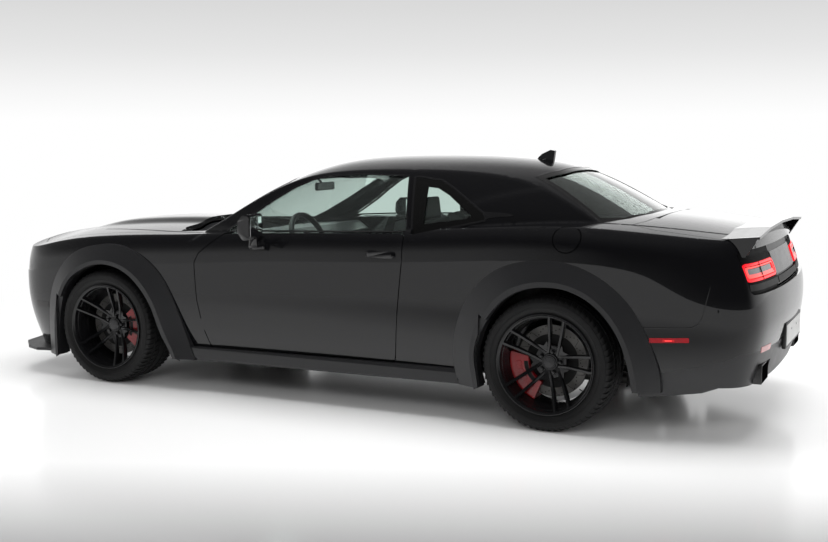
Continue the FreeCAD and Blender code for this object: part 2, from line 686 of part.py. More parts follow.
rear = rear.cut(both(rod((X(-1.2), plate_hole_half, plate_hole_z), (X(-0.902), plate_hole_half,
                                                                    plate_hole_z),
                         plate_hole_radius)))
keep("front_fascia", front)
keep("rear_fascia", rear)
valance = skin.common(valance_region).cut(belly).cut(both_arches)
tip_y, tip_z = Y(0.617), Z(0.238)
tip_half, tip_tall = Y(0.099), Z(0.033)
tip_slot = box(X(-1.2), X(-0.725), tip_y - tip_half - shut_gap, tip_y + tip_half + shut_gap,
               tip_z - tip_tall - shut_gap,
               tip_z + tip_tall + shut_gap)
valance = valance.cut(both(tip_slot))
keep("rear_valance", valance)
fender = skin.common(fender_region).cut(front_region_wide).cut(hood_hole).cut(belly)
fender = fender.cut(front_arch).cut(door_hole).cut(sill_hole).cut(cabin_top(-seat_gap)).cut(cowl_hole)
fender = fender.cut(box(X(0.773), X(0.908), 0, Y(0.771), cowl_low, height))
keep("front_fenders", pair(fender))
frame = skin.cut(both(fender_hole.fuse(front_region_wide))).cut(rear_region_wide)
frame = frame.cut(hood_hole).cut(lid_hole).cut(roof_hole).cut(cowl_hole).cut(belly)
frame = frame.cut(both(door_hole)).cut(both(window_hole)).cut(both(quarter_plug))
frame = frame.cut(screen_plug).cut(back_plug).cut(both(sill_hole)).cut(both_arches)
cup_deep, cup_face = 12.0, -2.0
frame = frame.cut(fuel_hole).fuse(fuel_round(fuel_lid_radius + shut_gap * 2, cup_deep, cup_face))
keep("body_frame", frame)
keep("roof_panel", skin.common(roof_region))
cowl = cowl_region.common(body_top(cowl_drop)).cut(body_top(cowl_drop + cowl_sheet))
cowl = cowl.cut(cabin_top(-seat_gap))
bracket = box(hood_axis_x - ear, hood_axis_x + ear, ear_out + seat_gap, ear_out + ear, Z(0.638),
              hood_axis_z + ear)
bracket = bracket.cut(rod((hood_axis_x, ear_in, hood_axis_z), (hood_axis_x, ear_out + ear * 2,
                                                               hood_axis_z),
                          hood_pin + pin_room))
cowl = cowl.fuse(both(bracket))
keep("cowl_panel", cowl)
sill_round = 8.0
sill = plate_x([(Y(0.899), Z(0.137)), (Y(0.97), Z(0.132)), (Y(0.989), Z(0.145)), (Y(0.986), Z(0.185)),
                (Y(0.97), Z(0.203)), (Y(0.899), Z(0.203))], X(-1.0), X(2.0), sill_round).common(sill_plug)
keep("side_sills", pair(sill))

# Glass
keep("windscreen", clear.common(screen_glass).cut(body_top(cowl_drop + cowl_sheet)))
keep("rear_window", clear.common(back_glass))
keep("quarter_windows", pair(clear.common(quarter_glass)))
door_glass = largest(clear.common(window_plug.fuse(window_foot)))
keep("door_window_left", door_glass)
keep("door_window_right", mirrored(door_glass))

# Flares over the wheels
skirt = body_wall(-seat_gap)


def flare(place, edge, lip):
    outline = between(place, lip, edge, 1.0)
    rim = between(place, lip, edge, flare_rim_share)
    base = Part.Face(curve_loop(outline, Y(0.92))).extrude(Vector(0, flare_step_y - Y(0.92), 0))
    slope = Part.makeLoft([curve_loop(outline, flare_step_y), curve_loop(rim, flare_out)], True, True)
    whole = base.fuse(slope)
    whole = whole.cut(curve_plate(between(place, lip, edge, 0.0), side_in, left_out))
    foot = arch_hole(place, lip, lip)
    return whole.cut(foot).cut(skirt).cut(sill_hole)


keep("wheel_flares", pair(flare(front_axle, front_flare_edge_shares, front_flare_lip_shares).fuse(
    flare(rear_axle, rear_flare_edge_shares, rear_flare_lip_shares))))

# Floor, firewall, rails and hinge posts: the shell that carries the rest
full = Y(1.0)
floor = box(heel_x, firewall_x + sheet * 3, -floor_edge, floor_edge, floor_low, floor_high)
trunk_plan = [(X(-1.2), -full), (X(-1.2), full), (X(-0.424), full), (X(-0.424), Y(0.669)),
              (heel_x, Y(0.669)), (heel_x, -Y(0.669)), (X(-0.424), -Y(0.669)), (X(-0.424), -full)]
trunk = plate_z(trunk_plan, trunk_floor, trunk_floor + sheet * 3)
heel = box(heel_x - sheet * 3, heel_x, -floor_edge, floor_edge, floor_low, trunk_floor + sheet * 3)
tunnel_skin = box(heel_x, firewall_x, -tunnel_half - sheet * 2, tunnel_half + sheet * 2, floor_low,
                  tunnel_top + sheet * 2)
tunnel_hole = box(heel_x - overrun, firewall_x + overrun, -tunnel_half, tunnel_half, 0, tunnel_top)
firewall = box(firewall_x, firewall_x + sheet * 3, -full, full, floor_low, height)
post = box(X(0.721), firewall_x + sheet, post_in, post_out, floor_low, Z(0.621))
rail = box(firewall_x, X(2.0), rail_in, rail_out, Z(0.338), Z(0.407))
support = box(X(1.685), X(1.717), -full, full, Z(0.179), Z(0.528)).cut(
    box(X(1.669), X(1.733), -Y(0.418), Y(0.418), Z(0.207), Z(0.51)))
shell = fused(floor, trunk, heel, tunnel_skin, firewall, post, mirrored(post), rail, mirrored(rail),
              support).cut(tunnel_hole)
shell = shell.common(fit_form)
shell = shell.cut(plate_y([(X(0.773), Z(0.593)), (X(0.773), height), (X(2.0), height),
                           (X(2.0), Z(0.593))],
                          -full, full).cut(body_top(cowl_drop + cowl_sheet + seat_gap)))
shell = shell.cut(both(front_arch))
arm_plan = [(door_hinge_x - hinge_arm_half, post_in), (door_hinge_x + hinge_arm_half, post_in),
            (door_hinge_x + hinge_arm_half, door_hinge_y - hinge_arm), (door_hinge_x + hinge_pin,
                                                                        door_hinge_y),
            (door_hinge_x - hinge_pin, door_hinge_y), (door_hinge_x - hinge_arm_half,
                                                       door_hinge_y - hinge_arm)]
for level in hinge_heights_shares:
    low, high = Z(level) - hinge_arm_height / 2, Z(level) + hinge_arm_height / 2
    arm = plate_z(arm_plan, low, high)
    arm = arm.fuse(rod((door_hinge_x, door_hinge_y, low), (door_hinge_x, door_hinge_y, high), hinge_pin))
    shell = shell.fuse(both(arm))
# A raised pad near each corner of the floor, where the head of a jack goes
for place in jack_places:
    pad = box(place - jack_half_length, place + jack_half_length, jack_y - jack_half_width,
              jack_y + jack_half_width,
              floor_low - jack_pad_drop, floor_low + sheet)
    shell = shell.fuse(both(pad))
keep("floor_pan", shell)

# Wheel housings
front_liner = grow_round(front_axle, rail_out + seat_gap, left_out, liner_radius + liner_sheet).cut(
    grow_round(front_axle, 0, left_out, liner_radius))
rear_liner = grow_round(rear_axle, Y(0.669) + seat_gap, left_out, liner_radius + liner_sheet * 3).cut(
    grow_round(rear_axle, 0, left_out, liner_radius + liner_sheet * 2))
liners = front_liner.fuse(rear_liner).cut(box(X(-2), X(3), -full, left_out, -overrun, Z(0.181)))
liners = liners.common(fit_form)
keep("wheel_liners", pair(liners))

# Cabin
dash_round = 12.0
dash = plate_y([(X(0.773), dash_low), (X(0.674), dash_low), (X(0.652), Z(0.524)), (X(0.657), Z(0.621)),
                (X(0.685), dash_high), (X(0.827), Z(0.638)), (firewall_x - seat_gap, Z(0.593)),
                (firewall_x - seat_gap, dash_low)], -post_in + seat_gap, post_in - seat_gap, dash_round)
console = plate_y([(X(0.356), tunnel_top + sheet * 2 + seat_gap), (X(0.356), Z(0.386)),
                   (X(0.502), Z(0.403)),
                   (X(0.62), Z(0.441)), (X(0.685), Z(0.524)), (X(0.739), Z(0.524)),
                   (X(0.739),
                    tunnel_top + sheet * 2 + seat_gap)], -Y(0.115), Y(0.115), dash_round * 2 / 3)
wheel_tilt = math.radians(24.0)
wheel_middle = Vector(X(0.605), seat_y, Z(0.621))
wheel_out = Vector(-math.cos(wheel_tilt), 0, math.sin(wheel_tilt))
wheel_up = Vector(math.sin(wheel_tilt), 0, math.cos(wheel_tilt))
wheel_ring, wheel_grip = 182.0, 15.0
wheel_hub, wheel_deep = 62.0, 46.0
column_start = wheel_middle - wheel_out * (wheel_deep + seat_gap)
column = Part.makeCylinder(wheel_hub / 2, Z(0.179), column_start, wheel_out * -1)
cabin_fit = cabin_form(pillar_wall + seat_gap, roof_wall + seat_gap)
keep("dashboard", fused(dash, console, column).common(
    cabin_fit.fuse(box(X(-0.2), firewall_x - seat_gap, -full, full, 0, Z(0.621)))))
ring = Part.makeTorus(wheel_ring, wheel_grip, wheel_middle, wheel_out)
hub = Part.makeCylinder(wheel_hub, wheel_deep, wheel_middle - wheel_out * wheel_deep, wheel_out)
spokes = []
for way in (wheel_up * -1, Vector(0, 1, 0), Vector(0, -1, 0)):
    spokes.append(Part.makeCylinder(wheel_grip, wheel_ring, wheel_middle - wheel_out * (wheel_deep / 3),
                                    way))
keep("steering_wheel", fused(ring, hub, *spokes))

seat_low = Z(0.308)
seat_round, head_round = 18.0, 16.0
seat_cushion = plate_y([(X(0.356), seat_low), (X(0.546), seat_low), (X(0.549), Z(0.386)),
                        (X(0.529), Z(0.403)),
                        (X(0.38), Z(0.376)), (X(0.356),
                                              Z(0.386))], seat_y - seat_half, seat_y + seat_half, seat_round)
seat_back = plate_y([(X(0.38), Z(0.331)), (X(0.395), Z(0.386)), (X(0.356), Z(0.731)),
                     (X(0.332), Z(0.745)),
                     (X(0.315), Z(0.731)), (X(0.342),
                                            Z(0.331))], seat_y - seat_half, seat_y + seat_half, seat_round)
head_rest = plate_y([(X(0.346), Z(0.734)), (X(0.341), Z(0.821)), (X(0.319), Z(0.824)),
                     (X(0.313), Z(0.734))],
                    seat_y - seat_half / 2, seat_y + seat_half / 2, head_round)
seat_base = box(X(0.373), X(0.525), seat_y - seat_half * 0.7, seat_y + seat_half * 0.7,
                floor_high + seat_gap, seat_low)
keep("front_seats", pair(fused(seat_cushion, seat_back, head_rest, seat_base)))
bench_half = Y(0.627)
bench = plate_y([(X(0.319), floor_high + seat_gap), (X(0.319), Z(0.279)), (X(0.305), Z(0.297)),
                 (X(0.2), Z(0.272)),
                 (X(0.161), Z(0.672)), (X(0.136), Z(0.686)), (X(0.127), Z(0.669)),
                 (X(0.163), trunk_floor + sheet * 3 + seat_gap), (heel_x + seat_gap,
                                                                  trunk_floor + sheet * 3 + seat_gap),
                 (heel_x + seat_gap, floor_high + seat_gap)], -bench_half, bench_half)
bench = bench.cut(box(heel_x, X(0.5), -tunnel_half - sheet * 2 - seat_gap,
                      tunnel_half + sheet * 2 + seat_gap, 0,
                      tunnel_top + sheet * 2 + seat_gap))
keep("rear_seat", bench)
shelf = box(X(-0.283), X(0.125), -full, full, Z(0.697), Z(0.708))
shelf = shelf.common(fit_form).cut(fuel_round(fuel_lid_radius + overrun / 5, overrun / 3, overrun))
keep("parcel_shelf", shelf)

# Under the hood and under the floor
engine_low = Z(0.186)
keep("engine_block", box(X(0.871), X(1.297), -Y(0.313), Y(0.313), engine_low, Z(0.559)))
keep("radiator", box(X(1.688), X(1.714), -Y(0.418) + seat_gap, Y(0.418) - seat_gap, Z(0.207) + seat_gap,
                     Z(0.51) - seat_gap))
cross = box(X(0.952), X(1.148), -Y(0.449), Y(0.449), Z(0.138), engine_low - seat_gap)
upright = box(X(0.976), X(1.076), rail_in, rail_out, Z(0.152), Z(0.338) - seat_gap)
arm_low, arm_high = Z(0.138), Z(0.155)
arm_end = steer_y + Y(0.008)


def lower_arm(place):
    return plate_z([(place - Y(0.136), rail_in), (place - Y(0.057), Y(0.731)),
                    (place - Y(0.017), arm_end),
                    (place + Y(0.017), arm_end), (place + Y(0.057), Y(0.731)), (place + Y(0.136),
                                                                                rail_in)],
                   arm_low, arm_high)


knuckle_low, knuckle_high = Z(0.166), Z(0.366)
joint_radius, damper_radius = 14.0, 34.0
drive_radius, shaft_radius, link_round = 86.0, 24.0, 10.0
ball = rod((front_axle, steer_y, arm_low), (front_axle, steer_y, knuckle_low - seat_gap), joint_radius)
upper_arm = plate_z([(front_axle - Y(0.073), rail_out + seat_gap), (front_axle - Y(0.017), arm_end),
                     (front_axle + Y(0.017), arm_end), (front_axle + Y(0.073), rail_out + seat_gap)],
                    knuckle_high + seat_gap, knuckle_high + Z(0.011))
damper = rod((front_axle, Y(0.608), arm_low + Z(0.003)), (front_axle, Y(0.608), Z(0.483)), damper_radius)
front_side = fused(upright, lower_arm(front_axle), ball, upper_arm, damper)
keep("front_suspension", fused(cross, front_side, mirrored(front_side)))

knuckle_in, knuckle_out = Y(0.768), Y(0.82)
lobe_out = Y(0.844)
stalk = Y(0.031)
hub_boss = 48.0
disc_in = wheel_y - disc_offset - disc_thickness / 2
disc_out = disc_in + disc_thickness
hub_end = disc_in - Y(0.006)
bracket_out = wheel_y - caliper_offset - caliper_width / 2 - seat_gap


def upright_piece(place, bracket_way):
    """Hub carrier with its caliper bracket; bracket_way is +1 to the nose and -1 to the tail."""
    post_piece = box(place - stalk, place + stalk, knuckle_in, knuckle_out, knuckle_low, knuckle_high)
    lobes = [box(place - stalk, place + stalk, knuckle_in, lobe_out, knuckle_low, knuckle_low + Z(0.017)),
             box(place - stalk, place + stalk, knuckle_in, lobe_out, knuckle_high - Z(0.017),
                 knuckle_high)]
    boss = rod((place, knuckle_in, axle_height), (place, hub_end, axle_height), hub_boss)
    reach = sorted((place, place + bracket_way * (caliper_inner_radius + Y(0.047))))
    bracket = box(reach[0], reach[1], knuckle_in, bracket_out, axle_height - Z(0.029),
                  axle_height + Z(0.029))
    return fused(post_piece, boss, bracket, *lobes)


knuckle = upright_piece(front_axle, -1)
keep("knuckle_left", knuckle)
keep("knuckle_right", mirrored(knuckle))


def caliper(place, start):
    low = wheel_y - caliper_offset - caliper_width / 2
    high = low + caliper_width
    slot_in, slot_out = disc_in - caliper_gap, disc_out + caliper_gap
    slot_top = disc_radius + caliper_gap
    profile = [(low, caliper_inner_radius), (slot_in, caliper_inner_radius), (slot_in, slot_top),
               (slot_out, slot_top),
               (slot_out, caliper_inner_radius), (high, caliper_inner_radius), (high,
                                                                                caliper_outer_radius),
               (low, caliper_outer_radius)]
    return turned(profile, (place, axle_height), caliper_angle, start)


front_caliper_middle, rear_caliper_middle = 270.0, 118.0
front_caliper = caliper(front_axle, front_caliper_middle - caliper_angle / 2)
keep("caliper_front_left", front_caliper)
keep("caliper_front_right", mirrored(front_caliper))
keep("rear_calipers", pair(caliper(rear_axle, rear_caliper_middle - caliper_angle / 2)))

rear_cross = box(rear_axle - Y(0.188), rear_axle + Y(0.188), -Y(0.449), Y(0.449), Z(0.159), Z(0.207))
final_drive = rod((rear_axle, -Y(0.094), axle_height), (rear_axle, Y(0.094), axle_height), drive_radius)
half_shaft = rod((rear_axle, 0, axle_height), (rear_axle, knuckle_in + Y(0.005), axle_height),
                 shaft_radius)
rear_link = plate_z([(rear_axle - Y(0.115), rail_in), (rear_axle - Y(0.031), knuckle_out),
                     (rear_axle + Y(0.031), knuckle_out),
                     (rear_axle + Y(0.115), rail_in)], knuckle_low, knuckle_low + Z(0.015), link_round)
rear_post = box(rear_axle - Y(0.063), rear_axle + Y(0.063), rail_in - Y(0.042), rail_in + Y(0.016),
                Z(0.166),
                trunk_floor - seat_gap)
rear_side = fused(rear_link, upright_piece(rear_axle, 1), half_shaft, rear_post)
keep("rear_suspension", fused(rear_cross, final_drive, rear_side, mirrored(rear_side)))

pipe = 30.0
muffler_round, tip_round = 50.0, 30.0
pipe_y = Y(0.272)
pipe_z = floor_low - pipe - seat_gap
run = rod((X(0.837), pipe_y, pipe_z), (X(0.183), pipe_y, pipe_z), pipe)
dip = rod((X(0.183), pipe_y, pipe_z), (X(-0.46), pipe_y, pipe_z), pipe)
muffler = plate_x([(Y(0.345), Z(0.166)), (Y(0.731), Z(0.166)), (Y(0.731), Z(0.29)), (Y(0.345), Z(0.29))],
                  X(-0.681), X(-0.416), muffler_round)
riser = rod((X(-0.455), pipe_y, pipe_z), (X(-0.504), Y(0.397), Z(0.207)), pipe)
tip = plate_x([(tip_y - tip_half, tip_z - tip_tall), (tip_y + tip_half, tip_z - tip_tall),
               (tip_y + tip_half, tip_z + tip_tall),
               (tip_y - tip_half, tip_z + tip_tall)], X(-0.937), X(-0.672), tip_round)
keep("exhaust_system", pair(fused(run, dip, riser, muffler, tip)))

# Front face
mesh_sheet = 26.0
mesh_out, mesh_in = body_wall(side_wall + seat_gap * 2), body_wall(side_wall + mesh_sheet)
grille = plate_x([(-Y(0.759), Z(0.436)), (-Y(0.763), Z(0.486)), (-Y(0.777), Z(0.497)),
                  (-Y(0.777), Z(0.55)),
                  (Y(0.777), Z(0.55)), (Y(0.777), Z(0.497)), (Y(0.763), Z(0.486)), (Y(0.759), Z(0.436))],
                 X(1.6), X(2.1))
lower_grille = plate_x([(-Y(0.627), Z(0.181)), (-Y(0.69), Z(0.332)), (Y(0.69), Z(0.332)),
                        (Y(0.627), Z(0.181))],
                       X(1.6), X(2.1))
lamp_radius = 60.0


def lamp_bar(across, radius):
    return rod((X(1.6), across, Z(0.493)), (X(2.1), across, Z(0.493)), radius)


lamp_places = (Y(0.543), Y(0.69))
grille = grille.common(mesh_out).cut(mesh_in)
for across in lamp_places:
    grille = grille.cut(both(lamp_bar(across, lamp_radius + seat_gap)))
lower_grille = lower_grille.common(mesh_out).cut(mesh_in)
keep("grille", Part.makeCompound([largest(grille), largest(lower_grille)]))
lamp_proud, lamp_deep = 22.0, 20.0
lamp_out, lamp_in = body_wall(side_wall - lamp_proud), body_wall(side_wall + lamp_deep)
lamps = [largest(lamp_bar(across, lamp_radius).common(lamp_out).cut(lamp_in)) for across in lamp_places]
keep("headlamps", pair(Part.makeCompound(lamps)))
blade = plate_z([(X(1.523), -Y(0.972)), (X(1.523), Y(0.972)), (X(1.648), Y(0.998)), (X(1.776), Y(0.946)),
                 (X(1.924), Y(0.805)), (X(2.0), Y(0.522)), (X(2.0), -Y(0.522)), (X(1.924), -Y(0.805)),
                 (X(1.776), -Y(0.946)), (X(1.648), -Y(0.998))], Z(0.11), Z(0.122))
blade = blade.cut(both(arch_hole(front_axle, front_flare_lip_shares, front_flare_lip_shares)))
keep("splitter", blade)

# Tail face
tail_sunk, tail_deep = 26.0, 58.0
tail_out, tail_in = body_form(tail_sunk, tail_sunk), body_form(tail_deep, tail_deep)
tail_plug = plate_x([(Y(0.345), lamp_low + seat_gap), (Y(0.345), lamp_high - seat_gap),
                     (lamp_half - seat_gap, lamp_high - seat_gap), (lamp_half - seat_gap,
                                                                    lamp_low + seat_gap)],
                    X(-1.2), X(-0.805), tail_round - seat_gap)
keep("tail_lamps", pair(largest(tail_plug.common(tail_out).cut(tail_in))))
middle_plug = box(X(-1.2), X(-0.805), -Y(0.345) + shut_gap, Y(0.345) - shut_gap, lamp_low + shut_gap,
                  Z(0.679) - seat_gap)
keep("lid_panel", largest(middle_plug.common(tail_out).cut(tail_in)))


def deck(place, across):
    """Height of the deck's net at a place."""
    rise = along(crown_shares, place) * (1 - (across / crown_width_share) ** 2)
    return Z(along(crest_shares, place) + rise)


spoiler_rows = []
spoiler_front, spoiler_mid, spoiler_rear = -0.756, -0.84, -0.924
spoiler_rise, spoiler_edge = 34.0, 14.0
spoiler_foot, spoiler_lip = 12.0, 2.0
spoiler_mid_share = 0.55
for across in (-0.796, -0.418, 0.0, 0.418, 0.796):
    spots = [(X(spoiler_front), deck(spoiler_front, across) - spoiler_foot),
             (X(spoiler_front), deck(spoiler_front, across) + spoiler_lip),
             (X(spoiler_mid), deck(spoiler_mid, across) + spoiler_rise * spoiler_mid_share),
             (X(spoiler_rear), deck(spoiler_rear, across) + spoiler_rise),
             (X(spoiler_rear), deck(spoiler_rear, across) + spoiler_rise - spoiler_edge),
             (X(spoiler_mid), deck(spoiler_mid, across) - spoiler_foot)]
    spoiler_rows.append(Part.makePolygon([Vector(x, Y(across), z) for x, z in spots + spots[:1]]))
spoiler = Part.makeLoft(spoiler_rows, True, True).cut(body_top(-seat_gap))
tip_across = 0.796
tip_high = deck(spoiler_rear, tip_across) + spoiler_rise
end_plate = [(X(spoiler_front), deck(spoiler_front, tip_across) + spoiler_lip),
             (X(spoiler_mid), deck(spoiler_mid, tip_across) + spoiler_rise * spoiler_mid_share),
             (X(spoiler_rear), tip_high), (X(-0.866), tip_high - Z(0.073)),
             (X(-0.833), tip_high - Z(0.072)), (X(-0.798), tip_high - Z(0.034))]
end_plate = plate_y(end_plate, Y(0.786), Y(0.823))
end_plate = largest(end_plate.cut(body_form(-shut_gap, -shut_gap)))
keep("spoiler", spoiler.fuse(both(end_plate)))

fuel = outer_form.common(fuel_round(fuel_lid_radius, overrun / 2, overrun)).cut(
    body_form(fuel_lid_sheet, fuel_lid_sheet))
leaf_end = fuel_lid_radius + shut_gap - seat_gap
fuel_leaf = [(fuel_lid_radius / 2, -hinge_arm / 2), (leaf_end, -hinge_arm / 2), (leaf_end, hinge_arm / 2),
             (fuel_lid_radius / 2, hinge_arm / 2)]
leaf_low = fuel_middle + fuel_out * Y(0.023)
fuel_leaf = [leaf_low + Vector(dx, 0, 0) + fuel_up * du for dx, du in fuel_leaf + fuel_leaf[:1]]
fuel_leaf = Part.Face(Part.makePolygon(fuel_leaf)).extrude(fuel_out * Y(0.007))
fuel = fuel.fuse(fuel_leaf.common(fuel_round(leaf_end, overrun, overrun)))
keep("fuel_lid", fuel)
antenna_round = 5.0
fin_profile = plate_y([(X(0.142), Z(0.966)), (X(0.124), Z(1.0)), (X(0.106), Z(1.017)),
                       (X(0.096), Z(1.014)),
                       (X(0.1), Z(0.952))], -Y(0.013), Y(0.013), antenna_round)
keep("antenna_fin", fin_profile.cut(cabin_top(-seat_gap)))

# Wheels
def wheel_profile(points):
    return [(wheel_y + w * tyre_width / 2, r) for w, r in points]


tread_half_share, wall_share, bead_share = 0.8, 1.0, 0.886
bead_rise, well, lip_rise = 3.0, 20.0, 2.0
tyre_profile = wheel_profile([
    (-bead_share, rim_barrel + seat_gap), (-0.9, rim_radius + bead_rise), (-wall_share,
                                                                           0.866 * tyre_radius),
    (-0.985, 0.928 * tyre_radius), (-0.91, 0.978 * tyre_radius), (-tread_half_share, tyre_radius),
    (tread_half_share, tyre_radius), (0.91, 0.978 * tyre_radius), (0.985, 0.928 * tyre_radius),
    (wall_share, 0.866 * tyre_radius), (0.9, rim_radius + bead_rise), (bead_share,
                                                                       rim_barrel + seat_gap)])
barrel_profile = wheel_profile([
    (-0.98, rim_radius), (-0.92, rim_radius), (-0.91, rim_barrel), (-0.7, rim_barrel), (-0.4,
                                                                                        rim_barrel - well),
    (0.4, rim_barrel - well), (0.7, rim_barrel), (0.91, rim_barrel), (0.92, rim_radius), (0.98,
                                                                                          rim_radius),
    (0.98, rim_barrel + lip_rise), (0.9, rim_barrel - rim_wall - lip_rise), (0.7, rim_barrel - rim_wall),
    (0.4, rim_barrel - well - rim_wall), (-0.4, rim_barrel - well - rim_wall), (-0.7,
                                                                                rim_barrel - rim_wall),
    (-0.98, rim_barrel + lip_rise)])
spoke_outline = [(46.0, 70.0), (95.0, 72.0), (160.0, 92.0), (215.0, 121.0), (246.0, 140.0),
                 (246.0, 112.0),
                 (205.0, 96.0), (150.0, 70.0), (108.0, 60.0), (92.0, 44.0), (46.0, 44.0)]
hat_end = wheel_y + wheel_mounting_face - seat_gap
spoke_lean = 4.0


def wheel(place):
    """Tyre, rim and brake disc of a left-hand wheel."""
    middle = (place, axle_height)
    tyre = turned(tyre_profile, middle)
    centre = Vector(place, 0, axle_height)
    rim = [turned(barrel_profile, middle),
           rod((place, wheel_y + wheel_mounting_face, axle_height), (place, wheel_y + hub_face,
                                                                     axle_height), hub_radius)]
    for i in range(spoke_pairs):
        for way in (-1, 1):
            flat = Part.makePolygon([Vector(place - spoke_width / 2, wheel_y + w, axle_height + r)
                                     for r, w in spoke_outline + spoke_outline[:1]])
            bar = Part.Face(flat).extrude(Vector(spoke_width, 0, 0))
            bar.translate(Vector(way * spoke_spread, 0, 0))
            bar.rotate(centre, Vector(0, 1, 0), way * spoke_lean)
            bar.rotate(centre, Vector(0, 1, 0), 90.0 + i * 360.0 / spoke_pairs)
            rim.append(bar)
    rim = rim[0].multiFuse(rim[1:])
    for i in range(spoke_pairs):
        turn = math.radians(36.0 + 90.0 + i * 360.0 / spoke_pairs)
        x, z = place + lug_circle_radius * math.sin(turn), axle_height + lug_circle_radius * math.cos(turn)
        rim = rim.cut(rod((x, wheel_y, z), (x, wheel_y + overrun, z), lug_hole_radius))
    rim = rim.cut(grow_round(place, wheel_y, wheel_y + overrun, hub_bore_radius))
    rotor = turned([(hub_end + seat_gap, 0.0), (hub_end + seat_gap, hub_boss), (disc_in, hub_boss),
                    (disc_in, disc_radius),
                    (disc_out, disc_radius), (disc_out, disc_hat_radius), (hat_end,
                                                                           disc_hat_radius), (hat_end,
                                                                                              0.0)], middle)
    return tyre, rim, rotor


for place, end in ((front_axle, "front"), (rear_axle, "rear")):
    for shape, name in zip(wheel(place), ("tyre", "rim", "disc")):
        keep(name + "_" + end + "_left", shape)
        keep(name + "_" + end + "_right", mirrored(shape))

for name, shape in pieces.items():
    print(name, shape.isValid(), len(shape.Solids), [round(s.Volume / 1e6, 2) for s in shape.Solids])
os.makedirs("parts", exist_ok=True)
for name, shape in pieces.items():
    shape.exportStep("parts/" + name + ".step")
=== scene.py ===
# %% [markdown]
# # Muscle car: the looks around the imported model
# Everything is in metres, in the row frame: +X to the nose, +Y to the car's left, +Z up.

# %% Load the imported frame
import json
import math
from functools import partial

import bmesh
import bpy
import numpy as np
from mathutils import Matrix, Vector
from mathutils.bvhtree import BVHTree
from mathutils.interpolate import poly_3d_calc

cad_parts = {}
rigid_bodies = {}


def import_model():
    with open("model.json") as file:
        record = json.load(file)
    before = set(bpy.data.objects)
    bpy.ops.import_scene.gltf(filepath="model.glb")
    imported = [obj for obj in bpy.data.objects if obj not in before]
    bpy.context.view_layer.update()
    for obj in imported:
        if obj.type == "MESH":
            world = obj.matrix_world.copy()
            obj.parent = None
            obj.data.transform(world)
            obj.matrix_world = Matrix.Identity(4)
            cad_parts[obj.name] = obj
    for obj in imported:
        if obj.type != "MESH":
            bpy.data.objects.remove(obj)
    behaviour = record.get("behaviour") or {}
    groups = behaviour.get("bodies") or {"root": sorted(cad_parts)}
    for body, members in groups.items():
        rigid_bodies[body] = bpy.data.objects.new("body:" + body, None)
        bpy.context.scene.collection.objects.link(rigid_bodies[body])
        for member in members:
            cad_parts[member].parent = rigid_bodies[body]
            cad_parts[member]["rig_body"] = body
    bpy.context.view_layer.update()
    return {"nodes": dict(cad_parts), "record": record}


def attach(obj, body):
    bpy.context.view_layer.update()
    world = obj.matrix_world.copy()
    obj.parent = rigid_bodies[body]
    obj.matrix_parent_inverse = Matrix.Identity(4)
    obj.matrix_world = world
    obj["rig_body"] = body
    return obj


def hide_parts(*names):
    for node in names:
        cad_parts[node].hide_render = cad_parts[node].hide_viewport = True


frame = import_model()
nodes = frame["nodes"]
scene = bpy.context.scene
print("frame", len(nodes), "nodes")

# %% [markdown]
# ## Camera
# The photograph was taken from behind the car's left rear corner, at a standing person's eye height. A
# camera can be set by eye, but then nothing lines up. Here its place, turn and focal length come from
# fitting the car's known sizes to the picture, so that render and photograph can be laid over each other.

# %% Camera
PHOTO_WIDTH = 828
SENSOR = 36.0
FOCAL_PIXELS = 1141.85
CAMERA_PLACE = Vector((-3.3461, 6.5880, 1.5589))
CAMERA_YAW, CAMERA_PITCH, CAMERA_ROLL = -64.088, -6.726, -0.245


def make_camera():
    """The photograph's camera, from its place, turns and focal length in pixels."""
    data = bpy.data.cameras.new("camera")
    data.sensor_width = SENSOR
    data.lens = FOCAL_PIXELS / PHOTO_WIDTH * SENSOR
    data.clip_end = 200.0
    camera = bpy.data.objects.new("camera", data)
    scene.collection.objects.link(camera)
    yaw, pitch = math.radians(CAMERA_YAW), math.radians(CAMERA_PITCH)
    look = Vector((math.cos(yaw) * math.cos(pitch), math.sin(yaw) * math.cos(pitch), math.sin(pitch)))
    turn = look.to_track_quat("-Z", "Y").to_matrix().to_4x4()
    roll = Matrix.Rotation(math.radians(CAMERA_ROLL), 4, "Z")
    camera.matrix_world = Matrix.Translation(CAMERA_PLACE) @ turn @ roll
    scene.camera = camera
    return camera


camera = make_camera()
print("camera", [round(v, 3) for v in camera.location])

# %% [markdown]
# ## Helpers for nodes
# Blender's materials and worlds are small graphs of nodes. Drawn by hand in the editor they are easy to
# see but slow to repeat, so a few helpers make what comes up again and again: an empty tree, a colour
# ramp from rows, one sum, and how far a direction turns towards a heading.

# %% Helpers for nodes
SIDES = (("left", 1), ("right", -1))


def new_nodes(material):
    """An empty node tree for a material or world."""
    material.use_nodes = True
    tree = material.node_tree
    tree.nodes.clear()
    return tree


def ramp_rows(node, rows):
    """Fill a colour ramp with (place, grey) rows."""
    ramp = node.color_ramp
    while len(ramp.elements) > 1:
        ramp.elements.remove(ramp.elements[-1])
    for i, (place, value) in enumerate(rows):
        spot = ramp.elements[0] if i == 0 else ramp.elements.new(place)
        spot.position = place
        spot.color = (value, value, value, 1.0)


def calc(tree, operation, first, second, third=None):
    """One Math node; each input is a socket or a number."""
    node = tree.nodes.new("ShaderNodeMath")
    node.operation = operation
    for slot, value in enumerate((first, second, third)):
        if value is None:
            continue
        if isinstance(value, (int, float)):
            node.inputs[slot].default_value = value
        else:
            tree.links.new(value, node.inputs[slot])
    return node.outputs[0]


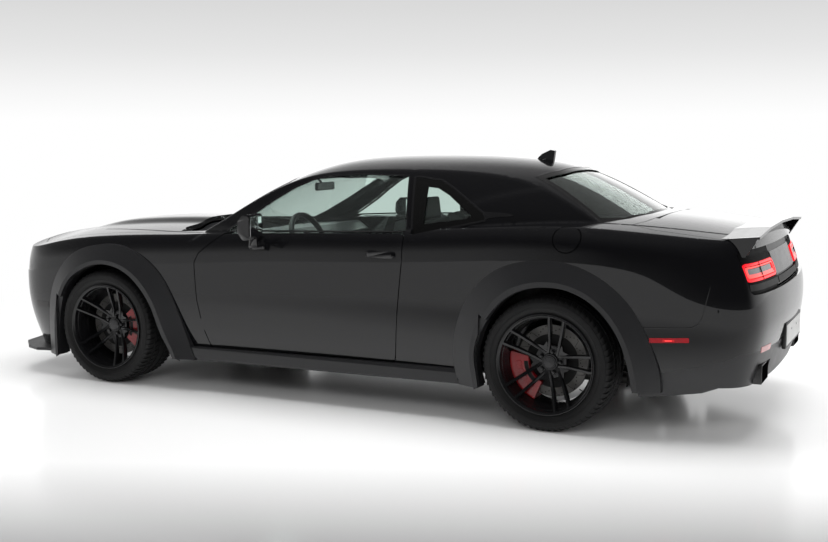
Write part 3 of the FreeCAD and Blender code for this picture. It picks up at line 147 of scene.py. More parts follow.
def toward(tree, direction, heading, start, end):
    """0 to 1 as a ray's direction turns towards a heading."""
    dot = tree.nodes.new("ShaderNodeVectorMath")
    dot.operation = "DOT_PRODUCT"
    tree.links.new(direction, dot.inputs[0])
    dot.inputs[1].default_value = Vector(heading).normalized()
    reach = tree.nodes.new("ShaderNodeMapRange")
    reach.interpolation_type = "SMOOTHSTEP"
    reach.inputs["From Min"].default_value = start
    reach.inputs["From Max"].default_value = end
    tree.links.new(dot.outputs["Value"], reach.inputs["Value"])
    return reach.outputs[0]


print("node helpers ready")

# %% [markdown]
# ## The studio's world
# The photograph's studio is a white sweep: the floor runs up into a white wall behind the car.
# Black gloss paint shows nothing of its own, only what stands round it, so the room matters more
# than the lamps. The world gives camera rays the pale backdrop, which greys towards the top, and gives
# reflections a white wall behind the car, with a brighter patch in its middle, and a dark room behind the
# camera. That was chosen over painted cards, which would cast shadows and show in other views.

# %% The studio's world
BACKDROP_ROWS = [(0.0, 1.0), (0.508, 1.0), (0.519, 0.93), (0.537, 0.79), (0.556, 0.70), (0.62, 0.62)]
WALL_ROWS = [(0.0, 0.9), (0.50, 1.0), (0.57, 0.92), (0.64, 0.5), (0.72, 0.22), (0.82, 0.12), (1.0, 0.16)]
ROOM_ROWS = [(0.0, 0.4), (0.50, 0.08), (0.56, 0.03), (0.74, 0.015), (0.88, 0.06), (1.0, 0.16)]
WINDOW_STRENGTH = 0.7
SIDE_GLOW = 0.75
AMBIENT = 0.42


def ramp_of(tree, rows, fac):
    node = tree.nodes.new("ShaderNodeValToRGB")
    ramp_rows(node, rows)
    tree.links.new(fac, node.inputs[0])
    return node.outputs[0]


def make_world():
    """Backdrop for the camera and through glass; walls for reflections; even light for the rest."""
    world = bpy.data.worlds.new("studio")
    scene.world = world
    tree = new_nodes(world)
    add, link = tree.nodes.new, tree.links.new
    out = add("ShaderNodeOutputWorld")
    path = add("ShaderNodeLightPath")
    where = add("ShaderNodeTexCoord")
    parts = add("ShaderNodeSeparateXYZ")
    direction = where.outputs["Generated"]
    link(direction, parts.inputs[0])
    height = calc(tree, "MULTIPLY_ADD", parts.outputs["Z"], 0.5, 0.5)
    backdrop = ramp_of(tree, BACKDROP_ROWS, height)
    wall, room = ramp_of(tree, WALL_ROWS, height), ramp_of(tree, ROOM_ROWS, height)
    behind = toward(tree, direction, (0.15, -1.0, 0.0), -0.25, 0.35)
    window = toward(tree, direction, (0.28, -0.95, 0.08), 0.92, 0.985)
    ahead = calc(tree, "MULTIPLY", toward(tree, direction, (1.0, 0.25, -0.05), 0.35, 0.85), SIDE_GLOW)
    bright = calc(tree, "MULTIPLY_ADD", window, WINDOW_STRENGTH, 1.0)
    lit_wall = calc(tree, "MULTIPLY", wall, bright)
    lit_room = calc(tree, "MAXIMUM", room, calc(tree, "MULTIPLY", wall, ahead))
    felt = calc(tree, "ADD", calc(tree, "MULTIPLY", lit_wall, behind),
                calc(tree, "MULTIPLY", lit_room, calc(tree, "SUBTRACT", 1.0, behind)))
    seen = calc(tree, "MAXIMUM", path.outputs["Is Camera Ray"], path.outputs["Is Transmission Ray"])
    lights = []
    for source, strength in ((backdrop, 1.0), (felt, 1.0), (None, AMBIENT)):
        light = add("ShaderNodeBackground")
        light.inputs["Strength"].default_value = strength
        if source:
            link(source, light.inputs["Color"])
        else:
            light.inputs["Color"].default_value = (1.0, 1.0, 1.0, 1.0)
        lights.append(light)
    plain = add("ShaderNodeMixShader")
    link(path.outputs["Is Glossy Ray"], plain.inputs[0])
    link(lights[2].outputs[0], plain.inputs[1])
    link(lights[1].outputs[0], plain.inputs[2])
    mix = add("ShaderNodeMixShader")
    link(seen, mix.inputs[0])
    link(plain.outputs[0], mix.inputs[1])
    link(lights[0].outputs[0], mix.inputs[2])
    link(mix.outputs[0], out.inputs["Surface"])


make_world()
print("world made")

# %% [markdown]
# ## The floor
# The floor is glossy white near the car, where it takes the shadow and a dark mirror image, and turns
# into flat backdrop further off, so that no horizon shows. Towards the camera it greys, as the
# studio's light falls away.

# %% The floor
FLOOR_HALF = 60.0
FLOOR_DROP = 0.001
FADE_START, FADE_END = 3.0, 5.2
GREY_START, GREY_END = 2.25, 3.5
FLOOR_WHITE, FLOOR_GREY = 1.0, 0.38
FLOOR_PALE = 0.88
FLOOR_MIRRORED = 0.82


def make_floor():
    """A white floor that mirrors near the car and turns into backdrop further off."""
    mesh = bpy.data.meshes.new("floor")
    corners = [(-FLOOR_HALF, -FLOOR_HALF, 0), (FLOOR_HALF, -FLOOR_HALF, 0), (FLOOR_HALF, FLOOR_HALF, 0),
               (-FLOOR_HALF, FLOOR_HALF, 0)]
    mesh.from_pydata(corners, [], [(0, 1, 2, 3)])
    floor = bpy.data.objects.new("floor", mesh)
    floor.location = (0, 0, -FLOOR_DROP)
    scene.collection.objects.link(floor)
    material = bpy.data.materials.new("floor")
    tree = new_nodes(material)
    add, link = tree.nodes.new, tree.links.new
    out = add("ShaderNodeOutputMaterial")
    ground = add("ShaderNodeBsdfPrincipled")
    ground.inputs["Roughness"].default_value = 0.16
    ground.inputs["Specular IOR Level"].default_value = 0.75
    where = add("ShaderNodeTexCoord")
    reach = add("ShaderNodeVectorMath")
    reach.operation = "LENGTH"
    link(where.outputs["Object"], reach.inputs[0])
    fade = add("ShaderNodeMapRange")
    fade.interpolation_type = "SMOOTHSTEP"
    fade.inputs["From Min"].default_value = FADE_START
    fade.inputs["From Max"].default_value = FADE_END
    link(reach.outputs["Value"], fade.inputs["Value"])
    parts = add("ShaderNodeSeparateXYZ")
    link(where.outputs["Object"], parts.inputs[0])
    near = add("ShaderNodeMapRange")
    near.inputs["From Min"].default_value = GREY_START
    near.inputs["From Max"].default_value = GREY_END
    near.inputs["To Min"].default_value = FLOOR_WHITE
    near.inputs["To Max"].default_value = FLOOR_GREY
    along_view = calc(tree, "MULTIPLY_ADD", parts.outputs["X"], -0.42, parts.outputs["Y"])
    link(along_view, near.inputs["Value"])
    link(calc(tree, "MULTIPLY", near.outputs[0], FLOOR_PALE), ground.inputs["Base Color"])
    path = add("ShaderNodeLightPath")
    far = add("ShaderNodeEmission")
    link(near.outputs[0], far.inputs["Color"])
    near_far = add("ShaderNodeMixShader")
    link(fade.outputs[0], near_far.inputs[0])
    link(ground.outputs[0], near_far.inputs[1])
    link(far.outputs[0], near_far.inputs[2])
    mirrored = add("ShaderNodeEmission")
    mirrored.inputs["Color"].default_value = (FLOOR_MIRRORED, FLOOR_MIRRORED, FLOOR_MIRRORED, 1.0)
    far_mirror = add("ShaderNodeMixShader")
    link(calc(tree, "MULTIPLY", path.outputs["Is Glossy Ray"], fade.outputs[0]), far_mirror.inputs[0])
    link(near_far.outputs[0], far_mirror.inputs[1])
    link(mirrored.outputs[0], far_mirror.inputs[2])
    link(far_mirror.outputs[0], out.inputs["Surface"])
    mesh.materials.append(material)
    return floor


floor = make_floor()
print("floor", FLOOR_HALF * 2, "m across")

# %% [markdown]
# ## Lamps
# A studio lights a car with large soft boxes, so that no hard spot shows in the paint. Small lamps would
# give sharp highlights and hard shadows. Four large area lamps do the same work here. They are hidden
# from reflections, because the world already holds what the paint mirrors.

# %% Lamps


def make_lamp(name, place, aim, width, depth, power, mirrored):
    """A soft box; the ones that aren't mirrored only light the car."""
    data = bpy.data.lights.new(name, "AREA")
    data.shape = "RECTANGLE"
    data.size, data.size_y = width, depth
    data.energy = power
    lamp = bpy.data.objects.new(name, data)
    turn = (Vector(aim) - Vector(place)).to_track_quat("-Z", "Y").to_matrix().to_4x4()
    lamp.matrix_world = Matrix.Translation(place) @ turn
    lamp.visible_camera = False
    lamp.visible_glossy = mirrored
    scene.collection.objects.link(lamp)
    return lamp


make_lamp("ceiling", (0.0, 0.0, 6.5), (0, 0, 0), 9.0, 5.0, 620.0, False)
make_lamp("front", (-3.0, 9.0, 5.5), (0, 0, 0.3), 7.0, 2.5, 300.0, False)
make_lamp("back", (2.0, -9.0, 5.0), (0, 0, 0.5), 9.0, 2.5, 360.0, False)
make_lamp("tail", (-9.0, 2.0, 4.0), (-2, 0, 0.6), 4.0, 2.0, 120.0, False)
scene.view_settings.view_transform = "Standard"
print("studio made")

# %% [markdown]
# ## Shared effects as node groups
# Grain, wear and dust come up in many finishes. Each is a node group built once: a small box of
# nodes with named inputs, placed in every material with its own values, so that a change made in
# one spot reaches them all. Copied nodes would drift apart.

# %% Node groups


def new_group(name, inputs, outputs):
    """A node group with float inputs (name, value) or colour inputs (name, colour), and named outputs."""
    group = bpy.data.node_groups.new(name, "ShaderNodeTree")
    for label, value in inputs:
        kind = "NodeSocketColor" if isinstance(value, tuple) else "NodeSocketFloat"
        socket = group.interface.new_socket(name=label, in_out="INPUT", socket_type=kind)
        socket.default_value = (*value, 1.0) if isinstance(value, tuple) else value
    for label, kind in outputs:
        group.interface.new_socket(name=label, in_out="OUTPUT", socket_type=kind)
    return group, group.nodes.new("NodeGroupInput"), group.nodes.new("NodeGroupOutput")


def noise_in(group, scale_socket, stretch_socket=None, detail=2.0):
    """A noise node inside a group, in the object's own metres, stretched along X if asked."""
    where = group.nodes.new("ShaderNodeTexCoord")
    texture = group.nodes.new("ShaderNodeTexNoise")
    texture.inputs["Detail"].default_value = detail
    source = where.outputs["Object"]
    if stretch_socket:
        parts = group.nodes.new("ShaderNodeSeparateXYZ")
        joined = group.nodes.new("ShaderNodeCombineXYZ")
        group.links.new(source, parts.inputs[0])
        group.links.new(calc(group, "MULTIPLY", parts.outputs["X"], stretch_socket), joined.inputs["X"])
        group.links.new(parts.outputs["Y"], joined.inputs["Y"])
        group.links.new(parts.outputs["Z"], joined.inputs["Z"])
        source = joined.outputs[0]
    group.links.new(source, texture.inputs["Vector"])
    group.links.new(scale_socket, texture.inputs["Scale"])
    return texture.outputs["Fac"]


def blend(group, mask, given, second, out):
    """Mix a group's Base colour with its second one by a mask, into its Color output."""
    mix = group.nodes.new("ShaderNodeMix")
    mix.data_type = "RGBA"
    group.links.new(mask, mix.inputs[0])
    group.links.new(given.outputs["Base"], mix.inputs[6])
    group.links.new(given.outputs[second], mix.inputs[7])
    group.links.new(mix.outputs[2], out.inputs["Color"])


print("group tools ready")

# %% [markdown]
# ## Grain, flake and wear
# Moulded plastic has a fine grain, gloss paint has metal flake, and edges wear pale. Painted textures
# would need an unwrapped surface and would blur up close. Noise in the object's own metres needs
# neither, and keeps one size on every piece.

# %% Grain, flake and wear


def make_grain():
    """Fine surface grain: a height for Bump and a roughness that wanders a little."""
    group, given, out = new_group("grain", [("Scale", 900.0), ("Stretch", 1.0), ("Roughness", 0.5),
                                            ("Wander", 0.1)],
                                  [("Height", "NodeSocketFloat"), ("Roughness", "NodeSocketFloat")])
    fine = noise_in(group, given.outputs["Scale"], given.outputs["Stretch"], 3.0)
    slow = noise_in(group, calc(group, "MULTIPLY_ADD", given.outputs["Scale"], 0.008, 6.0))
    centred = calc(group, "SUBTRACT", slow, 0.5)
    rough = calc(group, "MULTIPLY_ADD", centred, given.outputs["Wander"], given.outputs["Roughness"])
    group.links.new(fine, out.inputs["Height"])
    group.links.new(rough, out.inputs["Roughness"])
    return group


def make_flake():
    """Metal flake: small bright specks mixed into a base colour."""
    group, given, out = new_group("flake", [("Base", (0.01, 0.01, 0.01)), ("Fleck", (0.02, 0.02, 0.02)),
                                            ("Scale", 2600.0), ("Sharpness", 6.0)],
                                  [("Color", "NodeSocketColor")])
    speck = calc(group, "POWER", noise_in(group, given.outputs["Scale"], None, 1.0),
                 given.outputs["Sharpness"])
    blend(group, speck, given, "Fleck", out)
    return group


def make_wear():
    """Edge wear: rubbed edges come out paler, from the geometry's pointiness broken up by noise."""
    group, given, out = new_group("edge_wear", [("Base", (0.01, 0.01, 0.01)), ("Worn", (0.06, 0.06, 0.06)),
                                                ("Amount", 0.3), ("Scale", 60.0)],
                                  [("Color", "NodeSocketColor"), ("Mask", "NodeSocketFloat")])
    shape = group.nodes.new("ShaderNodeNewGeometry")
    edge = group.nodes.new("ShaderNodeMapRange")
    edge.inputs["From Min"].default_value = 0.51
    edge.inputs["From Max"].default_value = 0.56
    group.links.new(shape.outputs["Pointiness"], edge.inputs["Value"])
    broken = calc(group, "MULTIPLY", edge.outputs[0], noise_in(group, given.outputs["Scale"]))
    mask = calc(group, "MULTIPLY", broken, given.outputs["Amount"])
    blend(group, mask, given, "Worn", out)
    group.links.new(mask, out.inputs["Mask"])
    return group


GRAIN, FLAKE, WEAR = make_grain(), make_flake(), make_wear()


def place_group(tree, group, **values):
    """One use of a group in a material, with its own values."""
    node = tree.nodes.new("ShaderNodeGroup")
    node.node_tree = group
    for key, value in values.items():
        node.inputs[key].default_value = (*value, 1.0) if isinstance(value, tuple) else value
    return node


def bump_from(tree, shader, height, strength, distance, normal="Normal"):
    """Bump from a height socket into one of the shader's normals."""
    bump = tree.nodes.new("ShaderNodeBump")
    bump.inputs["Strength"].default_value = strength
    bump.inputs["Distance"].default_value = distance
    tree.links.new(height, bump.inputs["Height"])
    tree.links.new(bump.outputs[0], shader.inputs[normal])
    return bump


print("groups", [g.name for g in bpy.data.node_groups])

# %% [markdown]
# ## Materials
# The car is black on black, so each finish is told apart by how it reflects, not by colour: gloss
# paint has a clear coat over a dark base, trim is satin, rubber is dull and a little brown. One maker
# function for each family keeps the finishes consistent, and every one takes its own values.

# %% Makers of finishes


def principled(name, **values):
    """A material with one Principled shader, and the values of its named inputs."""
    material = bpy.data.materials.new(name)
    tree = new_nodes(material)
    out = tree.nodes.new("ShaderNodeOutputMaterial")
    shader = tree.nodes.new("ShaderNodeBsdfPrincipled")
    tree.links.new(shader.outputs[0], out.inputs["Surface"])
    for key, value in values.items():
        socket = shader.inputs[key.replace("_", " ")]
        socket.default_value = (*value, 1.0) if isinstance(value, tuple) else value
    return material, tree, shader


def paint(name, color, flake=0.010):
    """Gloss paint: dark base with fine flake under a clear coat."""
    material, tree, shader = principled(name, Roughness=0.32, Coat_Weight=1.0, Coat_Roughness=0.025,
                                        Coat_IOR=1.5, Specular_IOR_Level=0.04)
    fleck = tuple(c + flake for c in color)
    specks = place_group(tree, FLAKE, Base=color, Fleck=fleck)
    tree.links.new(specks.outputs["Color"], shader.inputs["Base Color"])
    peel = place_group(tree, GRAIN, Scale=210.0)
    bump_from(tree, shader, peel.outputs["Height"], 0.015, 0.0003, "Coat Normal")
    return material


def plastic(name, color, rough, scale=900.0, depth=0.00025, strength=0.35, wear=0.0, sheen=0.5):
    """Moulded or rolled plastic, rubber, leather: a grain with its own size and depth."""
    material, tree, shader = principled(name, Base_Color=color, Roughness=rough, Specular_IOR_Level=sheen)
    grain = place_group(tree, GRAIN, Scale=scale, Roughness=rough, Wander=0.12)
    tree.links.new(grain.outputs["Roughness"], shader.inputs["Roughness"])
    bump_from(tree, shader, grain.outputs["Height"], strength, depth)
    if wear:
        worn = tuple(min(c * 4 + 0.02, 1.0) for c in color)
        rub = place_group(tree, WEAR, Base=color, Worn=worn, Amount=wear)
        tree.links.new(rub.outputs["Color"], shader.inputs["Base Color"])
    return material


def metal(name, color, rough, stretch=1.0, scale=500.0, depth=0.0001, wear=0.0):
    material, tree, shader = principled(name, Base_Color=color, Roughness=rough, Metallic=1.0)
    grain = place_group(tree, GRAIN, Scale=scale, Stretch=stretch, Roughness=rough, Wander=rough * 0.4)
    tree.links.new(grain.outputs["Roughness"], shader.inputs["Roughness"])
    bump_from(tree, shader, grain.outputs["Height"], 0.25, depth)
    if wear:
        rub = place_group(tree, WEAR, Base=color, Worn=tuple(min(c * 2, 1.0) for c in color), Amount=wear)
        tree.links.new(rub.outputs["Color"], shader.inputs["Base Color"])
    return material


def glow(name, color, strength, base=(0.02, 0.0, 0.0)):
    """A lamp's lit part, at a plain level."""
    return principled(name, Base_Color=base, Roughness=0.2, Emission_Color=color,
                      Emission_Strength=strength)[0]


def glass(name, color, rough, through, bend):
    """Clear glass or plastic: how much light passes, and how strongly it bends."""
    return principled(name, Base_Color=color, Roughness=rough, Transmission_Weight=through, IOR=bend)[0]


print("makers ready")

# %% [markdown]
# ## Finishes
# On the real car the finishes come from paint shops, moulds and foundries. Each one here is a single
# call to its family's maker, so that two finishes can be compared by their numbers alone: colour first,
# then how rough it is, then the size and depth of its grain.

# %% Finishes
black_paint = paint("black_paint", (0.0030, 0.0030, 0.0036), 0.008)
gloss_black = plastic("gloss_black", (0.004, 0.004, 0.0045), 0.06, 300.0, 0.00005, 0.1)
satin_black = plastic("satin_black", (0.012, 0.012, 0.013), 0.36)
window_glass = glass("window_glass", (0.80, 0.90, 0.86), 0.0, 1.0, 1.45)
rear_glass = glass("rear_glass", (0.40, 0.46, 0.43), 0.0, 1.0, 1.45)
floor_paint = plastic("floor_paint", (0.012, 0.012, 0.013), 0.6, wear=0.3)
liner_black = plastic("liner_black", (0.006, 0.006, 0.006), 0.9, 500.0, 0.0012, 0.8, sheen=0.1)
cabin_plastic = plastic("cabin_plastic", (0.016, 0.016, 0.018), 0.55, 1400.0, 0.0004, 0.6)
seat_leather = plastic("seat_leather", (0.014, 0.014, 0.015), 0.42, 700.0, 0.0006, 0.6)
cast_iron = metal("cast_iron", (0.10, 0.10, 0.10), 0.6, wear=0.5)
radiator_metal = metal("radiator_metal", (0.18, 0.18, 0.19), 0.45, 30.0)
suspension_black = plastic("suspension_black", (0.02, 0.02, 0.022), 0.5, wear=0.4)
# The caliper red is darker than the paint's own colour: painted shade for the wheel's shadowed inside.
caliper_red = paint("caliper_red", (0.17, 0.003, 0.005), 0.0)
exhaust_steel = metal("exhaust_steel", (0.20, 0.195, 0.19), 0.38, 0.1)
lamp_clear = glass("lamp_clear", (0.9, 0.93, 0.95), 0.02, 0.9, 1.2)
lamp_red = paint("lamp_red", (0.22, 0.002, 0.004), 0.0)
tyre_rubber = plastic("tyre_rubber", (0.0052, 0.0052, 0.0054), 0.62, 400.0, 0.0004, 0.4, sheen=0.32)
wheel_black = plastic("wheel_black", (0.0045, 0.0045, 0.005), 0.24, 1800.0, 0.0001, 0.2, sheen=0.45)
disc_steel = metal("disc_steel", (0.12, 0.117, 0.113), 0.50)
print("finishes made")

# %% [markdown]
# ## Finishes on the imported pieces
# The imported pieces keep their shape, and only their finish is set. The record names a material slot for
# each piece, so one table from slot to finish dresses them all, and a new piece needs no line of its own.

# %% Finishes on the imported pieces
slots = {
    "body_paint": black_paint, "satin_black": satin_black, "window_glass": window_glass,
    "floor_paint": floor_paint, "liner_black": liner_black, "cabin_plastic": cabin_plastic,
    "seat_cloth": seat_leather, "engine_iron": cast_iron, "radiator_metal": radiator_metal,
    "suspension_black": suspension_black, "caliper_red": caliper_red, "exhaust_steel": exhaust_steel,
    "lamp_clear": lamp_clear, "lamp_red": lamp_red, "tyre_rubber": tyre_rubber,
    "wheel_black": wheel_black, "disc_steel": disc_steel,
}
for row in frame["record"]["subparts"]:
    thing = nodes[row["node"]]
    for place in thing.material_slots:
        place.material = slots[row["material_slot"]]
    if not thing.material_slots:
        thing.data.materials.append(slots[row["material_slot"]])
for place in nodes["rear_window"].material_slots:
    place.material = rear_glass
print("materials", len(slots))

# %% [markdown]
# ## Sizes and tables of the body
# A car's skin is pressed over smooth dies, and its lines run on from one panel to the next. Measuring
# each panel alone would break them. So the tables give the whole body's lines as shares of its length,
# width and height, the same as in the part's source: its crest, its plan and its side.

# %% Sizes and tables of the body
LENGTH, WHEELBASE, NOSE, HEIGHT, HALF = 5.022, 2.951, 0.940, 1.450, 0.957
FRONT_AXLE = LENGTH / 2 - NOSE
REAR_AXLE = FRONT_AXLE - WHEELBASE
TAIL = LENGTH - WHEELBASE - NOSE


def X(share):
    """Place along the car: -1 tail, 0 rear axle, 1 front axle, 2 nose."""
    if share > 1:
        return FRONT_AXLE + (share - 1) * NOSE
    if share < 0:
        return REAR_AXLE + share * TAIL
    return REAR_AXLE + share * WHEELBASE


def along(table, share):
    rows = sorted(table)
    if share <= rows[0][0]:
        return rows[0][1]
    for (low, value), (high, next_value) in zip(rows, rows[1:]):
        if share <= high:
            return value + (next_value - value) * (share - low) / (high - low)
    return rows[-1][1]


# The line where the body's side turns over into its top: place along the car, height
crest_shares = [
    (-1.08, 0.69), (-0.902, 0.698), (-0.753, 0.705), (-0.581, 0.721), (-0.398, 0.734),
    (-0.167, 0.746), (0.044, 0.748), (0.146, 0.731), (0.288, 0.71), (0.468, 0.698),
    (0.618, 0.69), (0.717, 0.676), (0.793, 0.661), (0.898, 0.655), (1.021, 0.643),
    (1.287, 0.631), (1.479, 0.61), (1.666, 0.579), (1.807, 0.552), (2.1, 0.545)]

# Plan outline of the widest part of the body, from the tail's middle round to the nose
plan_shares = [
    (-1.0, 0.0), (-1.0, 0.209), (-0.99, 0.439), (-0.971, 0.648), (-0.942, 0.825),
    (-0.849, 0.93), (-0.707, 0.972), (-0.46, 0.993), (-0.106, 1.0), (0.095, 0.993),
    (0.264, 0.979), (0.434, 0.974), (0.603, 0.974), (0.756, 0.979), (0.891, 0.99),
    (1.031, 0.995), (1.35, 0.99), (1.605, 0.967), (1.786, 0.914), (1.914, 0.799),
    (1.976, 0.596), (1.997, 0.334), (2.0, 0.136), (2.0, 0.0)]

# Rows of the side from bottom to top: height, height over the crest, then how far the
# surface stands in from the plan outline at the side, the nose and the tail
side_row_shares = [
    (0.083, None, 0.073, 0.125, 0.136), (0.152, None, 0.042, 0.094, 0.099),
    (0.228, None, 0.015, 0.042, 0.052), (0.359, None, 0.002, 0.0, 0.013),
    (0.483, None, 0.0, 0.005, 0.0), (None, -0.103, 0.004, 0.009, 0.047),
    (None, -0.045, 0.016, 0.015, 0.084), (None, -0.003, 0.065, 0.025, 0.104),
    (None, 0.041, 0.136, 0.042, 0.157), (None, 0.103, 0.209, 0.094, 0.24),
    (0.897, None, 0.345, 0.313, 0.418)]

# Rise of the hood and deck over the crest at the middle of the car
crown_shares = [
    (-1.12, 0.019), (-0.946, 0.03), (-0.725, 0.038), (-0.46, 0.041), (-0.106, 0.041),
    (0.061, 0.034), (0.773, 0.031), (0.898, 0.033), (1.021, 0.04), (1.297, 0.041),
    (1.456, 0.055), (1.669, 0.07), (1.935, 0.076), (2.15, 0.069)]
top_place_shares = [2.15, 1.988, 1.861, 1.701, 1.51, 1.244, 0.976, 0.891, 0.834, 0.773,
                    0.671, 0.468, 0.264, 0.061, -0.106, -0.283, -0.46, -0.637, -0.813,
                    -0.946, -1.13]
top_width_shares = [0.0, 0.157, 0.261, 0.355, 0.46, 0.648, 0.836, 0.961, 1.097]
bulge_shares = [(0.773, 0.014), (0.84, 0.019), (1.137, 0.022), (1.51, 0.017), (1.722, 0.0)]
bulge_half_share = 0.261
crown_width_share = 0.94
corner_start_share = 1.456
corner_end_share = 1.882
tail_start_share = -0.548
tail_end_share = -0.902


print("body tables ready")

# %% [markdown]
# ## Tables of the glasshouse
# The glasshouse is what stands above the crest: windows, pillars and roof. Its side and its top are two
# surfaces that cross along the roof's edge. It could be one closed net, but then a change to the roof
# would move the windows, so each keeps tables of its own.

# %% Tables of the glasshouse
# The glasshouse: side surface, as place along the car and how far it closes in,
# then height and half width
cabin_place_shares = [(1.35, 0.345), (0.942, 0.178), (0.807, 0.084), (0.688, 0.031), (0.569, 0.008),
                      (0.451, 0.0), (0.332, 0.004), (0.197, 0.021), (0.061, 0.052),
                      (-0.195, 0.104), (-0.548, 0.178), (-0.902, 0.272)]
cabin_section_shares = [(0.552, 0.94), (0.655, 0.926), (0.724, 0.888), (0.793, 0.836),
                        (0.883, 0.754), (0.952, 0.684), (1.021, 0.585), (1.103, 0.439)]
# Windscreen, roof and back window along the middle of the car
roof_line_shares = [
    (1.35, 0.386), (1.031, 0.503), (0.925, 0.599), (0.871, 0.657), (0.807, 0.726),
    (0.739, 0.799), (0.678, 0.867), (0.627, 0.919), (0.569, 0.966), (0.502, 0.992),
    (0.417, 1.001), (0.332, 1.003), (0.23, 1.0), (0.146, 0.988), (0.078, 0.967),
    (0.027, 0.931), (-0.062, 0.883), (-0.195, 0.828), (-0.327, 0.772), (-0.504, 0.697),
    (-0.769, 0.586)]
roof_width_shares = [0.0, 0.188, 0.376, 0.564, 0.731, 0.94]
roof_crown_share = 0.066
roof_crown_width_share = 0.731
print("glasshouse tables ready")

# %% [markdown]
# ## Nets
# A car's body is drawn as long sections that run from tail to nose. A net holds the points where those
# sections cross, and a smooth surface is pulled towards them like a tent over poles. Each net is
# worked out from its tables, so that a change in length or height moves every point with it.

# %% Nets


def wall_net():
    """Points of the body's left side, from the tail's middle round to the nose's."""
    spots = [(X(x), y * HALF) for x, y in plan_shares]
    net = []
    for i, (x, y) in enumerate(spots):
        before, after = spots[max(i - 1, 0)], spots[min(i + 1, len(spots) - 1)]
        way = Vector((after[0] - before[0], after[1] - before[1], 0))
        if i == 0:
            way = Vector((0, 1, 0))
        if i == len(spots) - 1:
            way = Vector((0, -1, 0))
        way.normalize()
        place = plan_shares[i][0]
        nose = (place - corner_start_share) / (corner_end_share - corner_start_share)
        tail = (place - tail_start_share) / (tail_end_share - tail_start_share)
        nose = min(max(nose, 0.0), 1.0)
        tail = min(max(tail, 0.0), 1.0)
        row = []
        for level, over, at_side, at_nose, at_tail in side_row_shares:
            tuck = at_side * (1 - nose - tail) + at_nose * nose + at_tail * tail
            level_share = level if over is None else along(crest_shares, place) + over
            across = 0.0 if i in (0, len(spots) - 1) else y - way.x * tuck * HALF
            row.append([x + way.y * tuck * HALF, across, level_share * HEIGHT])
        net.append(row)
    for j in range(len(side_row_shares)):
        net[1][j][0] = net[0][j][0]
        net[-2][j][0] = net[-1][j][0]
    return net


def top_net():
    """Points of hood and deck, from side to side."""
    net = []
    for place in top_place_shares:
        row = []
        for across in top_width_shares:
            rise = along(crown_shares, place) * (1 - (across / crown_width_share) ** 2)
            if across <= bulge_half_share and place > bulge_shares[0][0] * 0.999:
                rise += along(bulge_shares, place)
            row.append([X(place), across * HALF, (along(crest_shares, place) + rise) * HEIGHT])
        net.append([[p[0], -p[1], p[2]] for p in reversed(row[1:])] + row)
    return net


def cabin_side_net():
    """Points of the glasshouse's left side."""
    return [[[X(place), (across - closing) * HALF, level * HEIGHT] for level, across in cabin_section_shares]
            for place, closing in cabin_place_shares]


def cabin_top_net():
    """Points of windscreen, roof and back window."""
    net = []
    for place, level in roof_line_shares:
        row = [[X(place), across * HALF,
                (level - roof_crown_share * (across / roof_crown_width_share) ** 2) * HEIGHT]
               for across in roof_width_shares]
        net.append([[p[0], -p[1], p[2]] for p in reversed(row[1:])] + row)
    return net


print("nets", [len(net) for net in (wall_net(), top_net(), cabin_side_net(), cabin_top_net())])

# %% [markdown]
# ## Surfaces from the nets
# The surface over a net is a cubic spline in both ways. A Blender NURBS surface would do, but it can't
# be asked for its exact direction at a point, so the weights are worked out here as arrays, and
# a search tree finds the nearest spot of a surface quickly.

# %% Surfaces from the nets


def spline_weights(count, cuts):
    """Weights of a clamped cubic spline's points, at cuts places in each span."""
    spans = count - 3
    knots = np.concatenate([np.zeros(3), np.arange(spans + 1), np.full(3, spans)]).astype(float)
    t = np.linspace(0, spans, spans * cuts + 1)
    t[-1] = spans - 1e-9
    base = np.zeros((len(t), len(knots) - 1))
    for i in range(len(knots) - 1):
        base[:, i] = (t >= knots[i]) & (t < knots[i + 1])
    for degree in (1, 2, 3):
        rise = np.zeros((len(t), len(knots) - 1 - degree))
        for i in range(len(knots) - 1 - degree):
            left, right = knots[i + degree] - knots[i], knots[i + degree + 1] - knots[i + 1]
            if left > 0:
                rise[:, i] += (t - knots[i]) / left * base[:, i]
            if right > 0:
                rise[:, i] += (knots[i + degree + 1] - t) / right * base[:, i + 1]
        base = rise
    return base


print("weights", spline_weights(6, 2).shape)

# %% [markdown]
# ## One smooth surface
# A surface is asked two things: where its nearest spot to a point lies, and which way it faces there. A
# fine mesh of the spline answers the first. For the second, the directions at a triangle's three corners
# are blended by how near the spot is to each, which stays smooth where a plain triangle's is flat.

# %% One smooth surface


